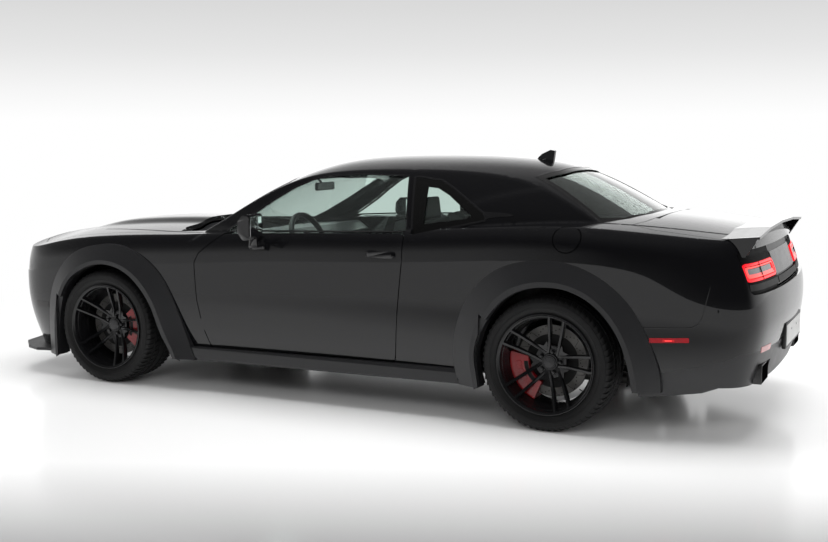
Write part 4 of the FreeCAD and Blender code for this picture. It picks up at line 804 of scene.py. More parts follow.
class Surface:
    """A net's surface as a fine mesh with its own smooth normals."""

    def __init__(self, net, cuts_u, cuts_v, mirror=False):
        points = np.array(net, float)
        across, up = spline_weights(points.shape[0], cuts_u), spline_weights(points.shape[1], cuts_v)
        grid = np.einsum("ai,bj,ijk->abk", across, up, points)
        rows, columns = grid.shape[:2]
        du, dv = np.gradient(grid, axis=0), np.gradient(grid, axis=1)
        normal = np.cross(du, dv)
        normal /= np.linalg.norm(normal, axis=2, keepdims=True) + 1e-12
        centre = np.array([0.0, 0.0, 0.5])
        if np.sum(normal * (grid - centre)) < 0:
            normal = -normal
        index = np.arange(rows * columns).reshape(rows, columns)
        quads = [index[:-1, :-1], index[1:, :-1], index[1:, 1:], index[:-1, 1:]]
        quads = np.stack(quads, axis=-1).reshape(-1, 4)
        spots, ways = grid.reshape(-1, 3), normal.reshape(-1, 3)
        if mirror:
            flip = np.array([1.0, -1.0, 1.0])
            quads = np.concatenate([quads, quads[:, ::-1] + len(spots)])
            spots = np.concatenate([spots, spots * flip])
            ways = np.concatenate([ways, ways * flip])
        self.points = [Vector(p) for p in spots.tolist()]
        self.normals = [Vector(p) for p in ways.tolist()]
        self.triangles = np.concatenate([quads[:, [0, 1, 2]], quads[:, [0, 2, 3]]]).tolist()
        self.tree = BVHTree.FromPolygons(self.points, self.triangles)

    def near(self, point, reach):
        """(place, smooth normal, distance) of the nearest spot on the surface, or None."""
        spot, _, index, distance = self.tree.find_nearest(point, reach)
        if spot is None:
            return None
        corners = self.triangles[index]
        shares = poly_3d_calc([self.points[c] for c in corners], spot)
        way = sum((self.normals[c] * share for c, share in zip(corners, shares)), Vector())
        return spot, way.normalized(), distance


surfaces = [Surface(wall_net(), 14, 8, True), Surface(top_net(), 10, 8),
            Surface(cabin_side_net(), 12, 10, True), Surface(cabin_top_net(), 10, 8)]
print("surfaces", [len(s.points) for s in surfaces])

# %% [markdown]
# ## Painted panels
# Gloss paint shows every facet, because its reflections follow the surface's direction. Smooth shading
# alone leaves ripples where the panel's triangles are uneven. Each painted panel is copied and cut
# finer, and its directions are read from the smooth surface under it; near a crease two surfaces blend.

# %% Painted panels
SKIN_REACH = 0.0012
BLEND_REACH = 0.016
NEAR_REACH = 0.004
SAME_WAY = 0.9
FINE_EDGE, COARSE_EDGE = 0.010, 0.032
CUT_ROUNDS = 7
SKIN_SHARP = math.radians(32)


def distances(point):
    """How far a point lies from each surface; None past the blend's reach."""
    return [s.tree.find_nearest(point, BLEND_REACH)[3] for s in surfaces]


def surface_of(face, marks):
    """Number of the surface that a face lies on, or 0."""
    for k in range(len(surfaces)):
        if any(marks[v.index][k] is None or marks[v.index][k] > SKIN_REACH for v in face.verts):
            continue
        hit = surfaces[k].near(face.calc_center_median(), NEAR_REACH)
        if hit and hit[1].dot(face.normal) > SAME_WAY:
            return k + 1
    return 0


def edge_too_long(edge, marks):
    """Edges are finer where two surfaces meet, so that the turn between them can be rounded."""
    length = edge.calc_length()
    if length < FINE_EDGE:
        return False
    if length > COARSE_EDGE:
        return True
    return any(sum(1 for d in marks[v.index] if d is not None) > 1 for v in edge.verts)


def smooth_way(point, own, mark):
    """The surface's direction at a point, drawn towards a second surface that passes close by."""
    hit = surfaces[own].near(point, NEAR_REACH)
    if not hit:
        return None
    way = hit[1].copy()
    for k, surface in enumerate(surfaces):
        if k == own or mark[k] is None:
            continue
        other = surface.near(point, BLEND_REACH)
        if other:
            way += (other[1] - hit[1]) * (0.5 * (1 - other[2] / BLEND_REACH) ** 2)
    return way.normalized()


print("reach of a skin", SKIN_REACH, "and of a blend", BLEND_REACH)

# %% [markdown]
# ## A finer copy of each panel
# Where an edge is long it is cut in two, and the new point is moved onto the smooth surface. A
# subdivision modifier would also round the shut lines, so only edges of faces on a known surface are
# cut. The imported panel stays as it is; the copy stands in for it and rides on the same body.

# %% A finer copy of each panel


def skin_copy(name):
    """A finer copy of a painted panel that takes its normals from the smooth surfaces."""
    source = nodes[name]
    mesh = source.data.copy()
    mesh.name = name + "_skin"
    b = bmesh.new()
    b.from_mesh(mesh)
    bmesh.ops.remove_doubles(b, verts=b.verts, dist=0.00001)
    b.normal_update()
    b.verts.index_update()
    marks = [distances(v.co) for v in b.verts]
    layer = b.faces.layers.int.new("surface")
    for face in b.faces:
        face[layer] = surface_of(face, marks)
    for _ in range(CUT_ROUNDS):
        long_edges = [e for e in b.edges if edge_too_long(e, marks) and any(f[layer] for f in e.link_faces)]
        if not long_edges:
            break
        bmesh.ops.subdivide_edges(b, edges=long_edges, cuts=1)
        b.verts.ensure_lookup_table()
        b.verts.index_update()
        for v in b.verts[len(marks):]:
            found = {f[layer] for f in v.link_faces}
            if len(found) == 1 and 0 not in found:
                hit = surfaces[found.pop() - 1].tree.find_nearest(v.co, NEAR_REACH)
                v.co = hit[0] or v.co
            marks.append(distances(v.co))
        bmesh.ops.triangulate(b, faces=[f for f in b.faces if len(f.verts) > 3])
    b.normal_update()
    b.to_mesh(mesh)
    layers = [f[layer] for f in b.faces]
    b.free()
    mesh.polygons.foreach_set("use_smooth", [True] * len(mesh.polygons))
    mesh.set_sharp_from_angle(angle=SKIN_SHARP)
    mesh.update()
    ways = [Vector(n.vector) for n in mesh.corner_normals]
    known = {}
    for polygon, k in zip(mesh.polygons, layers):
        if not k:
            continue
        for corner in polygon.loop_indices:
            index = mesh.loops[corner].vertex_index
            if (index, k) not in known:
                known[(index, k)] = smooth_way(mesh.vertices[index].co, k - 1, marks[index])
            ways[corner] = known[(index, k)] or ways[corner]
    mesh.normals_split_custom_set([tuple(w) for w in ways])
    piece = bpy.data.objects.new(name + "_skin", mesh)
    scene.collection.objects.link(piece)
    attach(piece, source["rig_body"])
    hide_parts(name)
    return piece


painted = ["hood", "trunk_lid", "door_left", "door_right", "front_fascia", "rear_fascia", "front_fenders",
           "body_frame", "roof_panel", "fuel_lid"]
skins = {}
for name in painted:
    skins[name] = skin_copy(name)
    print("skin", name, len(skins[name].data.polygons))

# %% [markdown]
# ## Tools for the small pieces
# Most of what is left is small: nuts, trims, lamps. Each piece gathers several simple shapes and
# becomes one mesh that rides on one body, so that it moves with it. Shapes are worked out as points
# and faces, which stays exact, where modelling by hand would not follow a change in the sizes.

# %% Tools for the small pieces
SHARP = math.radians(35)
WHOLE_TURN = 2 * math.pi


class Gathered:
    """Points, faces and finishes of one piece before it becomes a mesh."""

    def __init__(self):
        self.spots, self.faces, self.finishes = [], [], []

    def add(self, shape, finish=0):
        spots, faces = shape
        start = len(self.spots)
        self.spots += [tuple(s) for s in spots]
        self.faces += [tuple(i + start for i in face) for face in faces]
        self.finishes += [finish] * len(faces)
        return self

    def made(self, name, finishes, body, slot=None):
        """The piece itself, riding on a body. The slot argument is not used."""
        mesh = bpy.data.meshes.new(name)
        mesh.from_pydata(self.spots, [], self.faces)
        for finish in finishes:
            mesh.materials.append(finish)
        mesh.polygons.foreach_set("material_index", self.finishes)
        mesh.polygons.foreach_set("use_smooth", [True] * len(mesh.polygons))
        mesh.validate()
        b = bmesh.new()
        b.from_mesh(mesh)
        bmesh.ops.recalc_face_normals(b, faces=b.faces)
        b.to_mesh(mesh)
        b.free()
        mesh.set_sharp_from_angle(angle=SHARP)
        piece = bpy.data.objects.new(name, mesh)
        scene.collection.objects.link(piece)
        if body:
            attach(piece, body)
        return piece


print("gathering tool ready")

# %% [markdown]
# ## Turned, swept and flat shapes
# Nuts, caps and rims are turned on a lathe, strips are drawn through a die, and lenses are thin plates.
# The shapes here are made the same way: a profile turned round an axle, a section run along a path, a
# box with its edges taken off, and a plate over a grid. Modifiers could do it, with more objects to keep.

# %% Turned, swept and flat shapes


def grid_faces(rows, columns, close_rows=False, close_columns=False):
    """Quads over a grid of points laid out row by row."""
    faces = []
    for i in range(rows if close_rows else rows - 1):
        for j in range(columns if close_columns else columns - 1):
            a, b = i * columns + j, i * columns + (j + 1) % columns
            c, d = ((i + 1) % rows) * columns + (j + 1) % columns, ((i + 1) % rows) * columns + j
            faces.append((a, b, c, d))
    return faces


def lathe(profile, middle, steps, closed=True, way=Vector((0, 1, 0)), turn=0.0):
    """A profile of (along the axle, radius) turned round an axle through the middle."""
    side = Vector((1, 0, 0)) if abs(way.x) < 0.9 else Vector((0, 0, 1))
    side = (side - way * side.dot(way)).normalized()
    up = way.cross(side)
    spots = []
    for i in range(steps):
        angle = turn + WHOLE_TURN * i / steps
        out = side * math.cos(angle) + up * math.sin(angle)
        spots += [middle + way * w + out * r for w, r in profile]
    return spots, grid_faces(steps, len(profile), True, closed)


def rod(start, end, radius, sides=16, end_radius=None):
    """A round bar with closed ends."""
    start, end = Vector(start), Vector(end)
    way = (end - start).normalized()
    long = (end - start).length
    last = radius if end_radius is None else end_radius
    profile = [(0.0, radius), (long, last)]
    spots, faces = lathe(profile, start, sides, False, way)
    faces.append(tuple(range(0, 2 * sides, 2)))
    faces.append(tuple(range(2 * sides - 1, 0, -2)))
    return spots, faces


def block(low, high, round_edge=0.0):
    """A box between two corners, with its edges taken off."""
    b = bmesh.new()
    bmesh.ops.create_cube(b, size=1.0)
    low, high = Vector(low), Vector(high)
    for v in b.verts:
        v.co = Vector((low[i] + (high[i] - low[i]) * (v.co[i] + 0.5) for i in range(3)))
    if round_edge:
        bmesh.ops.bevel(b, geom=b.edges[:], offset=round_edge, segments=2, affect="EDGES", profile=0.5)
    b.verts.index_update()
    shape = [v.co.copy() for v in b.verts], [tuple(v.index for v in f.verts) for f in b.faces]
    b.free()
    return shape


def sweep(path, across, section, closed=False):
    """A section of (outward, sideways) run along a path; across gives the outward way at each point."""
    spots, count = [], len(path)
    for i, point in enumerate(path):
        before = path[(i - 1) % count] if closed or i else path[0]
        after = path[(i + 1) % count] if closed or i < count - 1 else path[-1]
        along_way = (after - before).normalized()
        out = (across[i] - along_way * across[i].dot(along_way)).normalized()
        side = along_way.cross(out)
        spots += [point + out * o + side * s for o, s in section]
    faces = grid_faces(count, len(section), closed, True)
    if not closed:
        last = (count - 1) * len(section)
        faces.append(tuple(range(len(section))))
        faces.append(tuple(last + k for k in reversed(range(len(section)))))
    return spots, faces


def slab_faces(rows, columns):
    """Faces of two like grids, top and foot, joined round their edge."""
    count = rows * columns
    faces = grid_faces(rows, columns)
    faces += [tuple(i + count for i in reversed(f)) for f in grid_faces(rows, columns)]
    edge = [j for j in range(columns)] + [i * columns + columns - 1 for i in range(1, rows)]
    edge += [(rows - 1) * columns + j for j in range(columns - 2, -1, -1)]
    edge += [i * columns for i in range(rows - 2, 0, -1)]
    return faces + [(edge[k], edge[k - 1], edge[k - 1] + count, edge[k] + count) for k in range(len(edge))]


def plate_on(grid, ways, lift, sink):
    """A plate over a grid of points: its face stands out by lift, its back lies in by sink."""
    rows, columns = len(grid), len(grid[0])
    top = [p + w * lift for row, way in zip(grid, ways) for p, w in zip(row, way)]
    low = [p - w * sink for row, way in zip(grid, ways) for p, w in zip(row, way)]
    return top + low, slab_faces(rows, columns)


def laid_plate(rows, lift, sink):
    """A plate over rows of (point, outward way) pairs."""
    return plate_on([[p for p, _ in row] for row in rows], [[w for _, w in row] for row in rows], lift, sink)


print("shape tools ready")

# %% [markdown]
# ## Places on the body
# Lamps and strips have to lie on a curved wall. A shrinkwrap modifier would press a flat piece onto it
# and stretch it. Here each point of a piece asks the smooth surface for its own place and outward way,
# so the piece takes the curve from the start.

# %% Places on the body


def side_spot(x, z, side=1):
    """The body's outer wall at a place along and up: point and outward way."""
    best = None
    for surface in (surfaces[0], surfaces[2]):
        hit = surface.tree.ray_cast(Vector((x, side * 2.0, z)), Vector((0, -side, 0)))
        if hit[0] is not None and (best is None or abs(hit[0].y) > abs(best[0].y)):
            best = surface.near(hit[0], 0.05)
    return best[0], best[1]


def tail_spot(y, z, x=-3.0, way=1):
    """The body's outer wall seen from behind (or in front with way -1)."""
    hit = surfaces[0].tree.ray_cast(Vector((x, y, z)), Vector((way, 0, 0)))
    found = surfaces[0].near(hit[0], 0.05)
    return found[0], found[1]


print("a place on the left door", [round(v, 3) for v in side_spot(0.0, 0.6)[0]])

# %% [markdown]
# ## Tyres
# A low tyre is a soft ring with a flat belt, rounded shoulders and a bulging wall. Its blocks are cut
# by four grooves round the belt and slanted slots across the shoulders. Here the section is turned
# round the axle in short steps, and some steps dip to form the slots: real grooves catch shadows at
# the shoulder, which a bump could not give at the outline. Plain rings run round the walls.

# %% Tyres
AXLE_X = {"front": FRONT_AXLE, "rear": REAR_AXLE}
WHEEL_Y, AXLE_Z = 0.833, 0.361
TYRE_HALF = 0.1525
BLOCKS = 66
SLOT_STEPS = (0.0, 0.06, 0.72, 0.78)
# The tyre's section: share of the half width, radius in metres, depth of the slots there
tyre_section_shares = [(-0.72, 0.262, 0.0), (-0.83, 0.264, 0.0), (-0.885, 0.270, 0.0),
                       (-0.89, 0.277, 0.0), (-0.925, 0.2785, 0.0), (-0.935, 0.284, 0.0),
                       (-0.975, 0.296, 0.0), (-0.99, 0.3035, 0.0), (-0.982, 0.305, 0.0),
                       (-0.996, 0.3065, 0.0), (-1.0, 0.315, 0.0), (-0.997, 0.324, 0.0),
                       (-0.985, 0.3325, 0.0), (-0.968, 0.334, 0.0), (-0.965, 0.3375, 0.004),
                       (-0.945, 0.3455, 0.006), (-0.915, 0.3525, 0.007), (-0.87, 0.3572, 0.007),
                       (-0.80, 0.3592, 0.007), (-0.70, 0.3602, 0.006), (-0.60, 0.3606, 0.0),
                       (-0.59, 0.3535, 0.0), (-0.525, 0.3535, 0.0), (-0.515, 0.3607, 0.0),
                       (-0.40, 0.3609, 0.005), (-0.24, 0.361, 0.0), (-0.23, 0.3535, 0.0),
                       (-0.15, 0.3535, 0.0), (-0.14, 0.361, 0.0), (0.0, 0.361, 0.0)]


def tyre_shape(middle):
    """The whole tyre, with slanted slots between its blocks."""
    section = tyre_section_shares + [(-w, r, d) for w, r, d in reversed(tyre_section_shares[:-1])]
    spots, steps = [], BLOCKS * len(SLOT_STEPS)
    for k in range(steps):
        block_number, part = divmod(k, len(SLOT_STEPS))
        in_slot = part in (2, 3)
        for share, radius, depth in section:
            slant = abs(share) * 0.9
            angle = WHOLE_TURN * (block_number + SLOT_STEPS[part] + slant) / BLOCKS
            if part == 3:
                angle = WHOLE_TURN * (block_number + 0.94 + slant) / BLOCKS
            if part == 0:
                in_slot = False
            r = radius - (depth if in_slot else 0.0)
            spots.append(middle + Vector((r * math.cos(angle), share * TYRE_HALF, r * math.sin(angle))))
    return spots, grid_faces(steps, len(section), True, True)


wheels = [(end, side, sign, Vector((x, sign * WHEEL_Y, AXLE_Z)))
          for end, x in AXLE_X.items() for side, sign in SIDES]
for end, side, sign, middle in wheels:
    tyre = Gathered().add(tyre_shape(middle))
    tyre = tyre.made(f"tread_{end}_{side}", [tyre_rubber], f"wheel_{end}_{side}", "tyre_rubber")
    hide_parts(f"tyre_{end}_{side}")
print("tyre faces", len(tyre.data.polygons))

# %% [markdown]
# ## Rims
# The rim has five pairs of slim spokes that run from a small, deep hub out to the lip. Near the hub
# each spoke leans on its neighbour from the next pair, and the nuts sit in the gap inside a pair. The
# spokes are lofted along a curved path with a narrow ridge and a wider foot, because the thin bright ridge
# line over a dark flank is what the eye reads as a cast spoke.

# %% Rims
PAIR_START = 176.0
PAIRS = 5
# Near the hub the spokes are this share as deep, so that they pass the brake caliper with 5 mm to spare
FOOT_SHARE = 0.42
# Along a spoke: distance from the axle, place out of the wheel's middle, sideways place, all in metres
spoke_path = [(0.040, 0.050, 0.0255), (0.058, 0.053, 0.0262), (0.085, 0.060, 0.0275), (0.120, 0.073, 0.0300),
              (0.155, 0.089, 0.0330), (0.190, 0.107, 0.0362), (0.220, 0.124, 0.0388), (0.240, 0.136, 0.0402),
              (0.254, 0.1425, 0.0412)]
# A spoke's section: sideways, and in or out from its ridge
spoke_section = [(-0.0058, 0.0), (0.0058, 0.0), (0.0075, -0.003), (0.0102, -0.020), (0.0102, -0.030),
                 (-0.0102, -0.030), (-0.0102, -0.020), (-0.0075, -0.003)]
# The rim's own section, turned round the axle: along, radius
rim_section = [(-0.1495, 0.2715), (-0.1400, 0.2715), (-0.1385, 0.2562), (-0.1050, 0.2562),
               (-0.0610, 0.2362), (0.0610, 0.2362), (0.1050, 0.2562), (0.1385, 0.2562),
               (0.1400, 0.2715), (0.1475, 0.2722), (0.1505, 0.2700), (0.1508, 0.2665), (0.1485, 0.2640),
               (0.1440, 0.2610), (0.1410, 0.2550), (0.1330, 0.2518), (0.1180, 0.2500), (0.1165, 0.2478),
               (0.1050, 0.2470), (0.0900, 0.2420), (0.0610, 0.2300), (-0.0610, 0.2292),
               (-0.1050, 0.2492), (-0.1400, 0.2505)]
hub_section = [(0.0425, 0.0), (0.0425, 0.0885), (0.0440, 0.0895), (0.0455, 0.0885), (0.0455, 0.0720),
               (0.0500, 0.0700), (0.0500, 0.0660), (0.0460, 0.0640), (0.0455, 0.0468), (0.0550, 0.0455),
               (0.0580, 0.0435), (0.0580, 0.0)]


print("places along a spoke", len(spoke_path))

# %% [markdown]
# ## Spokes, webs and whole rims
# A cast wheel is one piece. Joining its parts with booleans would be slow and could fail, and the joints
# don't show, so spokes, webs, hub and rim only run into each other inside one mesh. One spoke is drawn,
# and turned round the axle for the rest; the right side's wheels are the left ones mirrored.

# %% Spokes, webs and whole rims


def wheel_frame(turn):
    """Ways in the wheel's plane at a turn in degrees: out from the axle, and sideways."""
    angle = math.radians(turn)
    return Vector((math.cos(angle), 0, math.sin(angle))), Vector((-math.sin(angle), 0, math.cos(angle)))


def spoke(middle, turn, sign, hand):
    out, side = wheel_frame(turn)
    spots = []
    for radius, place, across in spoke_path:
        depth_share = FOOT_SHARE + (1 - FOOT_SHARE) * min(max((radius - 0.12) / 0.04, 0.0), 1.0)
        for sideways, rise in spoke_section:
            height = Vector((0, sign * (place + rise * depth_share), 0))
            spots.append(middle + out * radius + side * hand * (across + sideways) + height)
    faces = grid_faces(len(spoke_path), len(spoke_section), False, True)
    count = len(spoke_section)
    last = (len(spoke_path) - 1) * count
    faces += [tuple(range(count)), tuple(reversed(range(last, last + count)))]
    return spots, faces


def web(middle, turn, sign):
    """The plate that joins two neighbouring spokes of different pairs near the hub."""
    out, side = wheel_frame(turn)
    outline = [(0.040, -0.016), (0.075, -0.019), (0.112, -0.028), (0.094, 0.0), (0.112, 0.028),
               (0.075, 0.019), (0.040, 0.016)]
    spots = [middle + out * r + side * a + Vector((0, sign * (0.036 + r * 0.22), 0)) for r, a in outline]
    spots += [middle + out * r + side * a + Vector((0, sign * (0.020 + r * 0.22), 0)) for r, a in outline]
    count = len(outline)
    faces = [tuple(range(count)), tuple(reversed(range(count, 2 * count)))]
    faces += [(i, (i + 1) % count, (i + 1) % count + count, i + count) for i in range(count)]
    return spots, faces


def rim_shape(middle, sign, start):
    """The whole rim: ring, hub, five pairs of spokes and the webs between them."""
    gathered = Gathered()
    gathered.add(lathe([(sign * w, r) for w, r in rim_section], middle, 120))
    gathered.add(lathe([(sign * w, r) for w, r in hub_section], middle, 60, False))
    for k in range(PAIRS):
        turn = start + 360.0 / PAIRS * k
        gathered.add(spoke(middle, turn, sign, 1)).add(spoke(middle, turn, sign, -1))
        gathered.add(web(middle, turn + 180.0 / PAIRS, sign))
    return gathered


for end, side, sign, middle in wheels:
    rim = rim_shape(middle, sign, PAIR_START)
    rim = rim.made(f"cast_rim_{end}_{side}", [wheel_black], f"wheel_{end}_{side}", "wheel_black")
    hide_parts(f"rim_{end}_{side}")
print("rim faces", len(rim.data.polygons))

# %% [markdown]
# ## Wheel fittings and brake discs
# Five nuts sit round a plain cap, and a valve stands by the rim's edge. The discs are in two pieces, a
# black bell and a steel ring, and the ring is drilled and slotted. The bell's black is partly the hat's own
# colour and partly painted shade from inside the wheel. Holes as separate dark studs a hair proud of the
# ring read the same at this size as real holes, and keep the disc's mesh simple; their black is painted
# shade.

# %% Wheel fittings and brake discs
NUTS, NUT_PLACE, LUG_CIRCLE, CAP_PLACE = 5, 0.043, 0.05715, 0.056
# The black bell covers the disc out to here: partly the hat's own black, partly painted shade from inside the
# wheel.
BELL_RADIUS = 0.146
DISC_RADIUS, DISC_HAT = 0.195, 0.086
DISC_OUT = WHEEL_Y - 0.002 + 0.016
# Black for the disc's holes and bell and the caliper's pad window: painted shade in the holes, partly painted
# shade on bell and window.
hole_black = plastic("hole_black", (0.003, 0.003, 0.003), 0.8)
cap_black = plastic("cap_black", (0.010, 0.010, 0.011), 0.18, 1500.0, 0.00005, 0.1)
# Radii of the disc's holes as shares of its radius, and their turn in degrees from the first
disc_hole_shares = [(0.80, 0.0), (0.855, 6.0), (0.91, 12.0), (0.96, 18.0)]


def round_spot(middle, radius, degrees, out):
    turn = math.radians(degrees)
    return middle + Vector((radius * math.cos(turn), out, radius * math.sin(turn)))


def lug_nut(centre, sign):
    """A hexagonal nut with a chamfered, closed end."""
    profile = [(0.0, 0.0), (0.0, 0.0105), (0.016, 0.0105), (0.021, 0.0085), (0.0225, 0.0)]
    return lathe([(w * sign, r) for w, r in profile], centre, 6, False)


def fittings(middle, sign, lug_start):
    """Nuts, cap and valve of one wheel."""
    gathered = Gathered()
    for i in range(NUTS):
        spot = round_spot(middle, LUG_CIRCLE, lug_start + 360 // NUTS * i, sign * NUT_PLACE)
        gathered.add(lug_nut(spot, sign), 0)
    cap = [(0.0, 0.0), (0.0, 0.031), (0.006, 0.031), (0.0085, 0.029), (0.0085, 0.0255), (0.0105, 0.024),
           (0.012, 0.0)]
    cap = [(w, r * 1.2) for w, r in cap]
    centre = middle + Vector((0, sign * CAP_PLACE, 0))
    gathered.add(lathe([(sign * w, r) for w, r in cap], centre, 40, False), 1)
    foot = round_spot(middle, 0.243, lug_start + 36, sign * 0.118)
    gathered.add(rod(foot, foot + Vector((0, sign * 0.014, 0)) - (foot - middle) * 0.10, 0.0028, 10), 0)
    return gathered


def drillings(middle, sign):
    """The holes and slots on one disc as black studs of painted shade, and its black bell, partly painted
    shade.
    """
    gathered = Gathered()
    out = DISC_OUT - WHEEL_Y
    # Holes and slots: black studs of painted shade, standing for the dark inside real holes.
    for ring in range(12):
        for share, turn in disc_hole_shares:
            spot = round_spot(middle, share * DISC_RADIUS, ring * 30 + turn, sign * out)
            gathered.add(rod(spot, spot + Vector((0, sign * 0.0004, 0)), 0.0036, 10), 0)
        inner, outer = (round_spot(middle, share * DISC_RADIUS, ring * 30 + turn, sign * out)
                        for share, turn in ((0.77, 26.0), (0.98, 20.0)))
        gathered.add(rod(inner, outer, 0.0012, 6), 0)
    # The black bell: the hat's own colour and painted shade from inside the wheel.
    bell = [(out - 0.001, DISC_HAT), (out + 0.003, DISC_HAT), (out + 0.003, BELL_RADIUS - 0.004),
            (out + 0.0008, BELL_RADIUS), (out - 0.001, BELL_RADIUS)]
    gathered.add(lathe([(sign * w, r) for w, r in bell], middle, 64), 0)
    return gathered


for end, side, sign, middle in wheels:
    wheel, fitted = f"wheel_{end}_{side}", fittings(middle, sign, PAIR_START)
    fitted = fitted.made(f"nuts_and_cap_{end}_{side}", [wheel_black, cap_black], wheel)
    drillings(middle, sign).made(f"disc_holes_{end}_{side}", [hole_black], wheel)
print("wheel fittings", len(fitted.data.polygons))

# %% [markdown]
# ## Caliper faces
# A fixed caliper shows a dark window with the pads in it, and round piston covers on its red body. The
# window's black plate stands for the pads and also paints the shade on the caliper's inner part. They
# could be cut into the casting, but behind the spokes only their light and dark show, so they are thin
# plates and discs laid on the caliper's outer face.

# %% Caliper faces
CALIPER_FACE = 0.053
# The pads' dark window, a black plate that also paints the shade on the caliper's inner part: its inner and
# outer radius, and its half turn in degrees
PAD_WINDOW, PAD_TURN = (0.124, 0.148), 26
PISTON_PLACE, PISTON_RISE = 0.176, 0.0022
piston_turns = (-21, -7, 7, 21)
# Middle of each caliper as a turn from the car's front, up being 90 degrees
caliper_turns = {"front": 180.0, "rear": -28.0}


def arc_plate(middle, sign, low, high, start, end, place, thick, steps=14):
    grid, ways = [], []
    for radius in (low, (low + high) / 2, high):
        row = [round_spot(middle, radius, start + (end - start) * i / (steps - 1),
                          sign * place) for i in range(steps)]
        grid.append(row)
        ways.append([Vector((0, sign, 0))] * steps)
    return plate_on(grid, ways, thick, 0.001)


for end, side, sign, middle in wheels:
    turn, face = caliper_turns[end], Gathered()
    # The pads' window: black for the pads, and painted shade on the caliper's inner part.
    face.add(arc_plate(middle, sign, *PAD_WINDOW, turn - PAD_TURN, turn + PAD_TURN, CALIPER_FACE, 0.0008), 0)
    for offset in piston_turns:
        spot = round_spot(middle, PISTON_PLACE, turn + offset, sign * CALIPER_FACE)
        face.add(rod(spot, spot + Vector((0, sign * PISTON_RISE, 0)), 0.0175, 24, 0.0160), 1)
    body = f"knuckle_{side}" if end == "front" else "chassis"
    face.made(f"caliper_face_{end}_{side}", [hole_black, caliper_red], body)
print("caliper faces made")

# %% [markdown]
# ## Tail lamps
# Each lamp is a dark housing sunk into the tail, with a glowing light guide bent into a long loop,
# a pale lens inside it and black louvres over it. The loop is one swept tube, laid on the
# curved face by looking up the wall at each of its points, so that it wraps round the corner as the
# lamp does; a flat drawing of it would float off the curve.

# %% Tail lamps
LAMP_SINK = 0.026
LAMP_INNER, LAMP_OUTER = 0.345, 0.785
LAMP_LOW, LAMP_HIGH = 0.838, 0.915
LOOP_CORNER = 0.026
lamp_black = plastic("lamp_black", (0.004, 0.004, 0.0045), 0.55, 500.0, 0.00005, 0.1, sheen=0.08)
bar_black = plastic("bar_black", (0.010, 0.010, 0.010), 0.50, 900.0, 0.0001, 0.2, sheen=0.3)
lamp_glow = glow("lamp_glow", (1.0, 0.012, 0.022), 1.15)
lamp_core = glow("lamp_core", (1.0, 0.09, 0.08), 1.7)
lens_pale = plastic("lens_pale", (0.20, 0.205, 0.21), 0.22, 700.0, 0.0003, 0.3)
lens_rose = glow("lens_rose", (1.0, 0.16, 0.15), 0.62, (0.4, 0.05, 0.05))
for place in nodes["tail_lamps"].material_slots:
    place.material = lamp_black


def tail_face(y, z, lift):
    """A place on the sunk tail face, lifted by so much out of it."""
    point, way = tail_spot(y, z)
    return point - way * (LAMP_SINK - lift), way


def loop_path(inner, outer, low, high, corner, sign):
    """A long loop with round corners in the face's own plane: (y, z) all the way round."""
    path = []
    for y, z, start in ((outer - corner, high - corner, 0), (inner + corner, high - corner, 90),
                        (inner + corner, low + corner, 180), (outer - corner, low + corner, 270)):
        path += [(y + corner * math.cos(math.radians(start + a)),
                  z + corner * math.sin(math.radians(start + a)))
                 for a in range(0, 91, 15)]
    fine = []
    for (y, z), (next_y, next_z) in zip(path, path[1:] + path[:1]):
        pieces = max(1, round(math.hypot(next_y - y, next_z - z) / 0.02))
        fine += [(sign * (y + (next_y - y) * i / pieces),
                  z + (next_z - z) * i / pieces) for i in range(pieces)]
    return fine


def loop_tube(path, half, rise, lift):
    """A lamp's light guide: a rounded section run round a loop on the tail face."""
    spots = [tail_face(y, z, lift) for y, z in path]
    section = [(-0.002, -half), (rise * 0.7, -half), (rise, -half * 0.6), (rise, half * 0.6),
               (rise * 0.7, half), (-0.002, half)]
    return sweep([s[0] for s in spots], [s[1] for s in spots], section, True)


def face_plate(low, high, corner_places, columns, rows, lift, sink=0.004):
    """A plate on the tail between two places across and two heights."""
    start, end = corner_places
    spots = []
    for i in range(rows):
        z = low + (high - low) * i / (rows - 1)
        spots.append([tail_face(start + (end - start) * j / (columns - 1), z, 0.0) for j in range(columns)])
    return laid_plate(spots, lift, sink)


print("lamp tools ready")

# %% [markdown]
# ## Both tail lamps
# One table lists the flat parts of a lamp: its lens, its rose strip, its inner end, a divider, the
# louvres and a lower lip. A line for each part says where it lies and which finish it has, so a part can
# be moved without touching the code, and both lamps stay alike.

# %% Both tail lamps


# Flat parts of a lamp: height from and to, place across from and to, columns, rows, lift, finish
lamp_plates = [
    (LAMP_LOW + 0.020, LAMP_HIGH - 0.020, LAMP_INNER + 0.060, LAMP_OUTER - 0.02, 18, 4, 0.009, 2),
    (LAMP_LOW + 0.016, LAMP_LOW + 0.030, LAMP_INNER + 0.045, LAMP_OUTER - 0.02, 18, 3, 0.011, 3),
    (LAMP_LOW + 0.008, LAMP_HIGH - 0.008, LAMP_INNER + 0.008, LAMP_INNER + 0.040, 4, 5, 0.010, 0),
    (LAMP_LOW - 0.006, LAMP_HIGH + 0.006, 0.6035, 0.6065, 2, 6, 0.0145, 1)]
LOUVRES, LOUVRE_START, LOUVRE_STEP, LOUVRE_HEIGHT = 4, LAMP_HIGH + 0.012, 0.0085, 0.0035
for k in range(LOUVRES):
    foot = LOUVRE_START + LOUVRE_STEP * k
    lamp_plates.append((foot, foot + LOUVRE_HEIGHT, LAMP_INNER - 0.004, LAMP_OUTER, 18, 2, 0.008, 1))
lamp_plates.append((LAMP_LOW - 0.018, LAMP_LOW - 0.011, LAMP_INNER - 0.008, LAMP_OUTER, 18, 2, 0.012, 1))
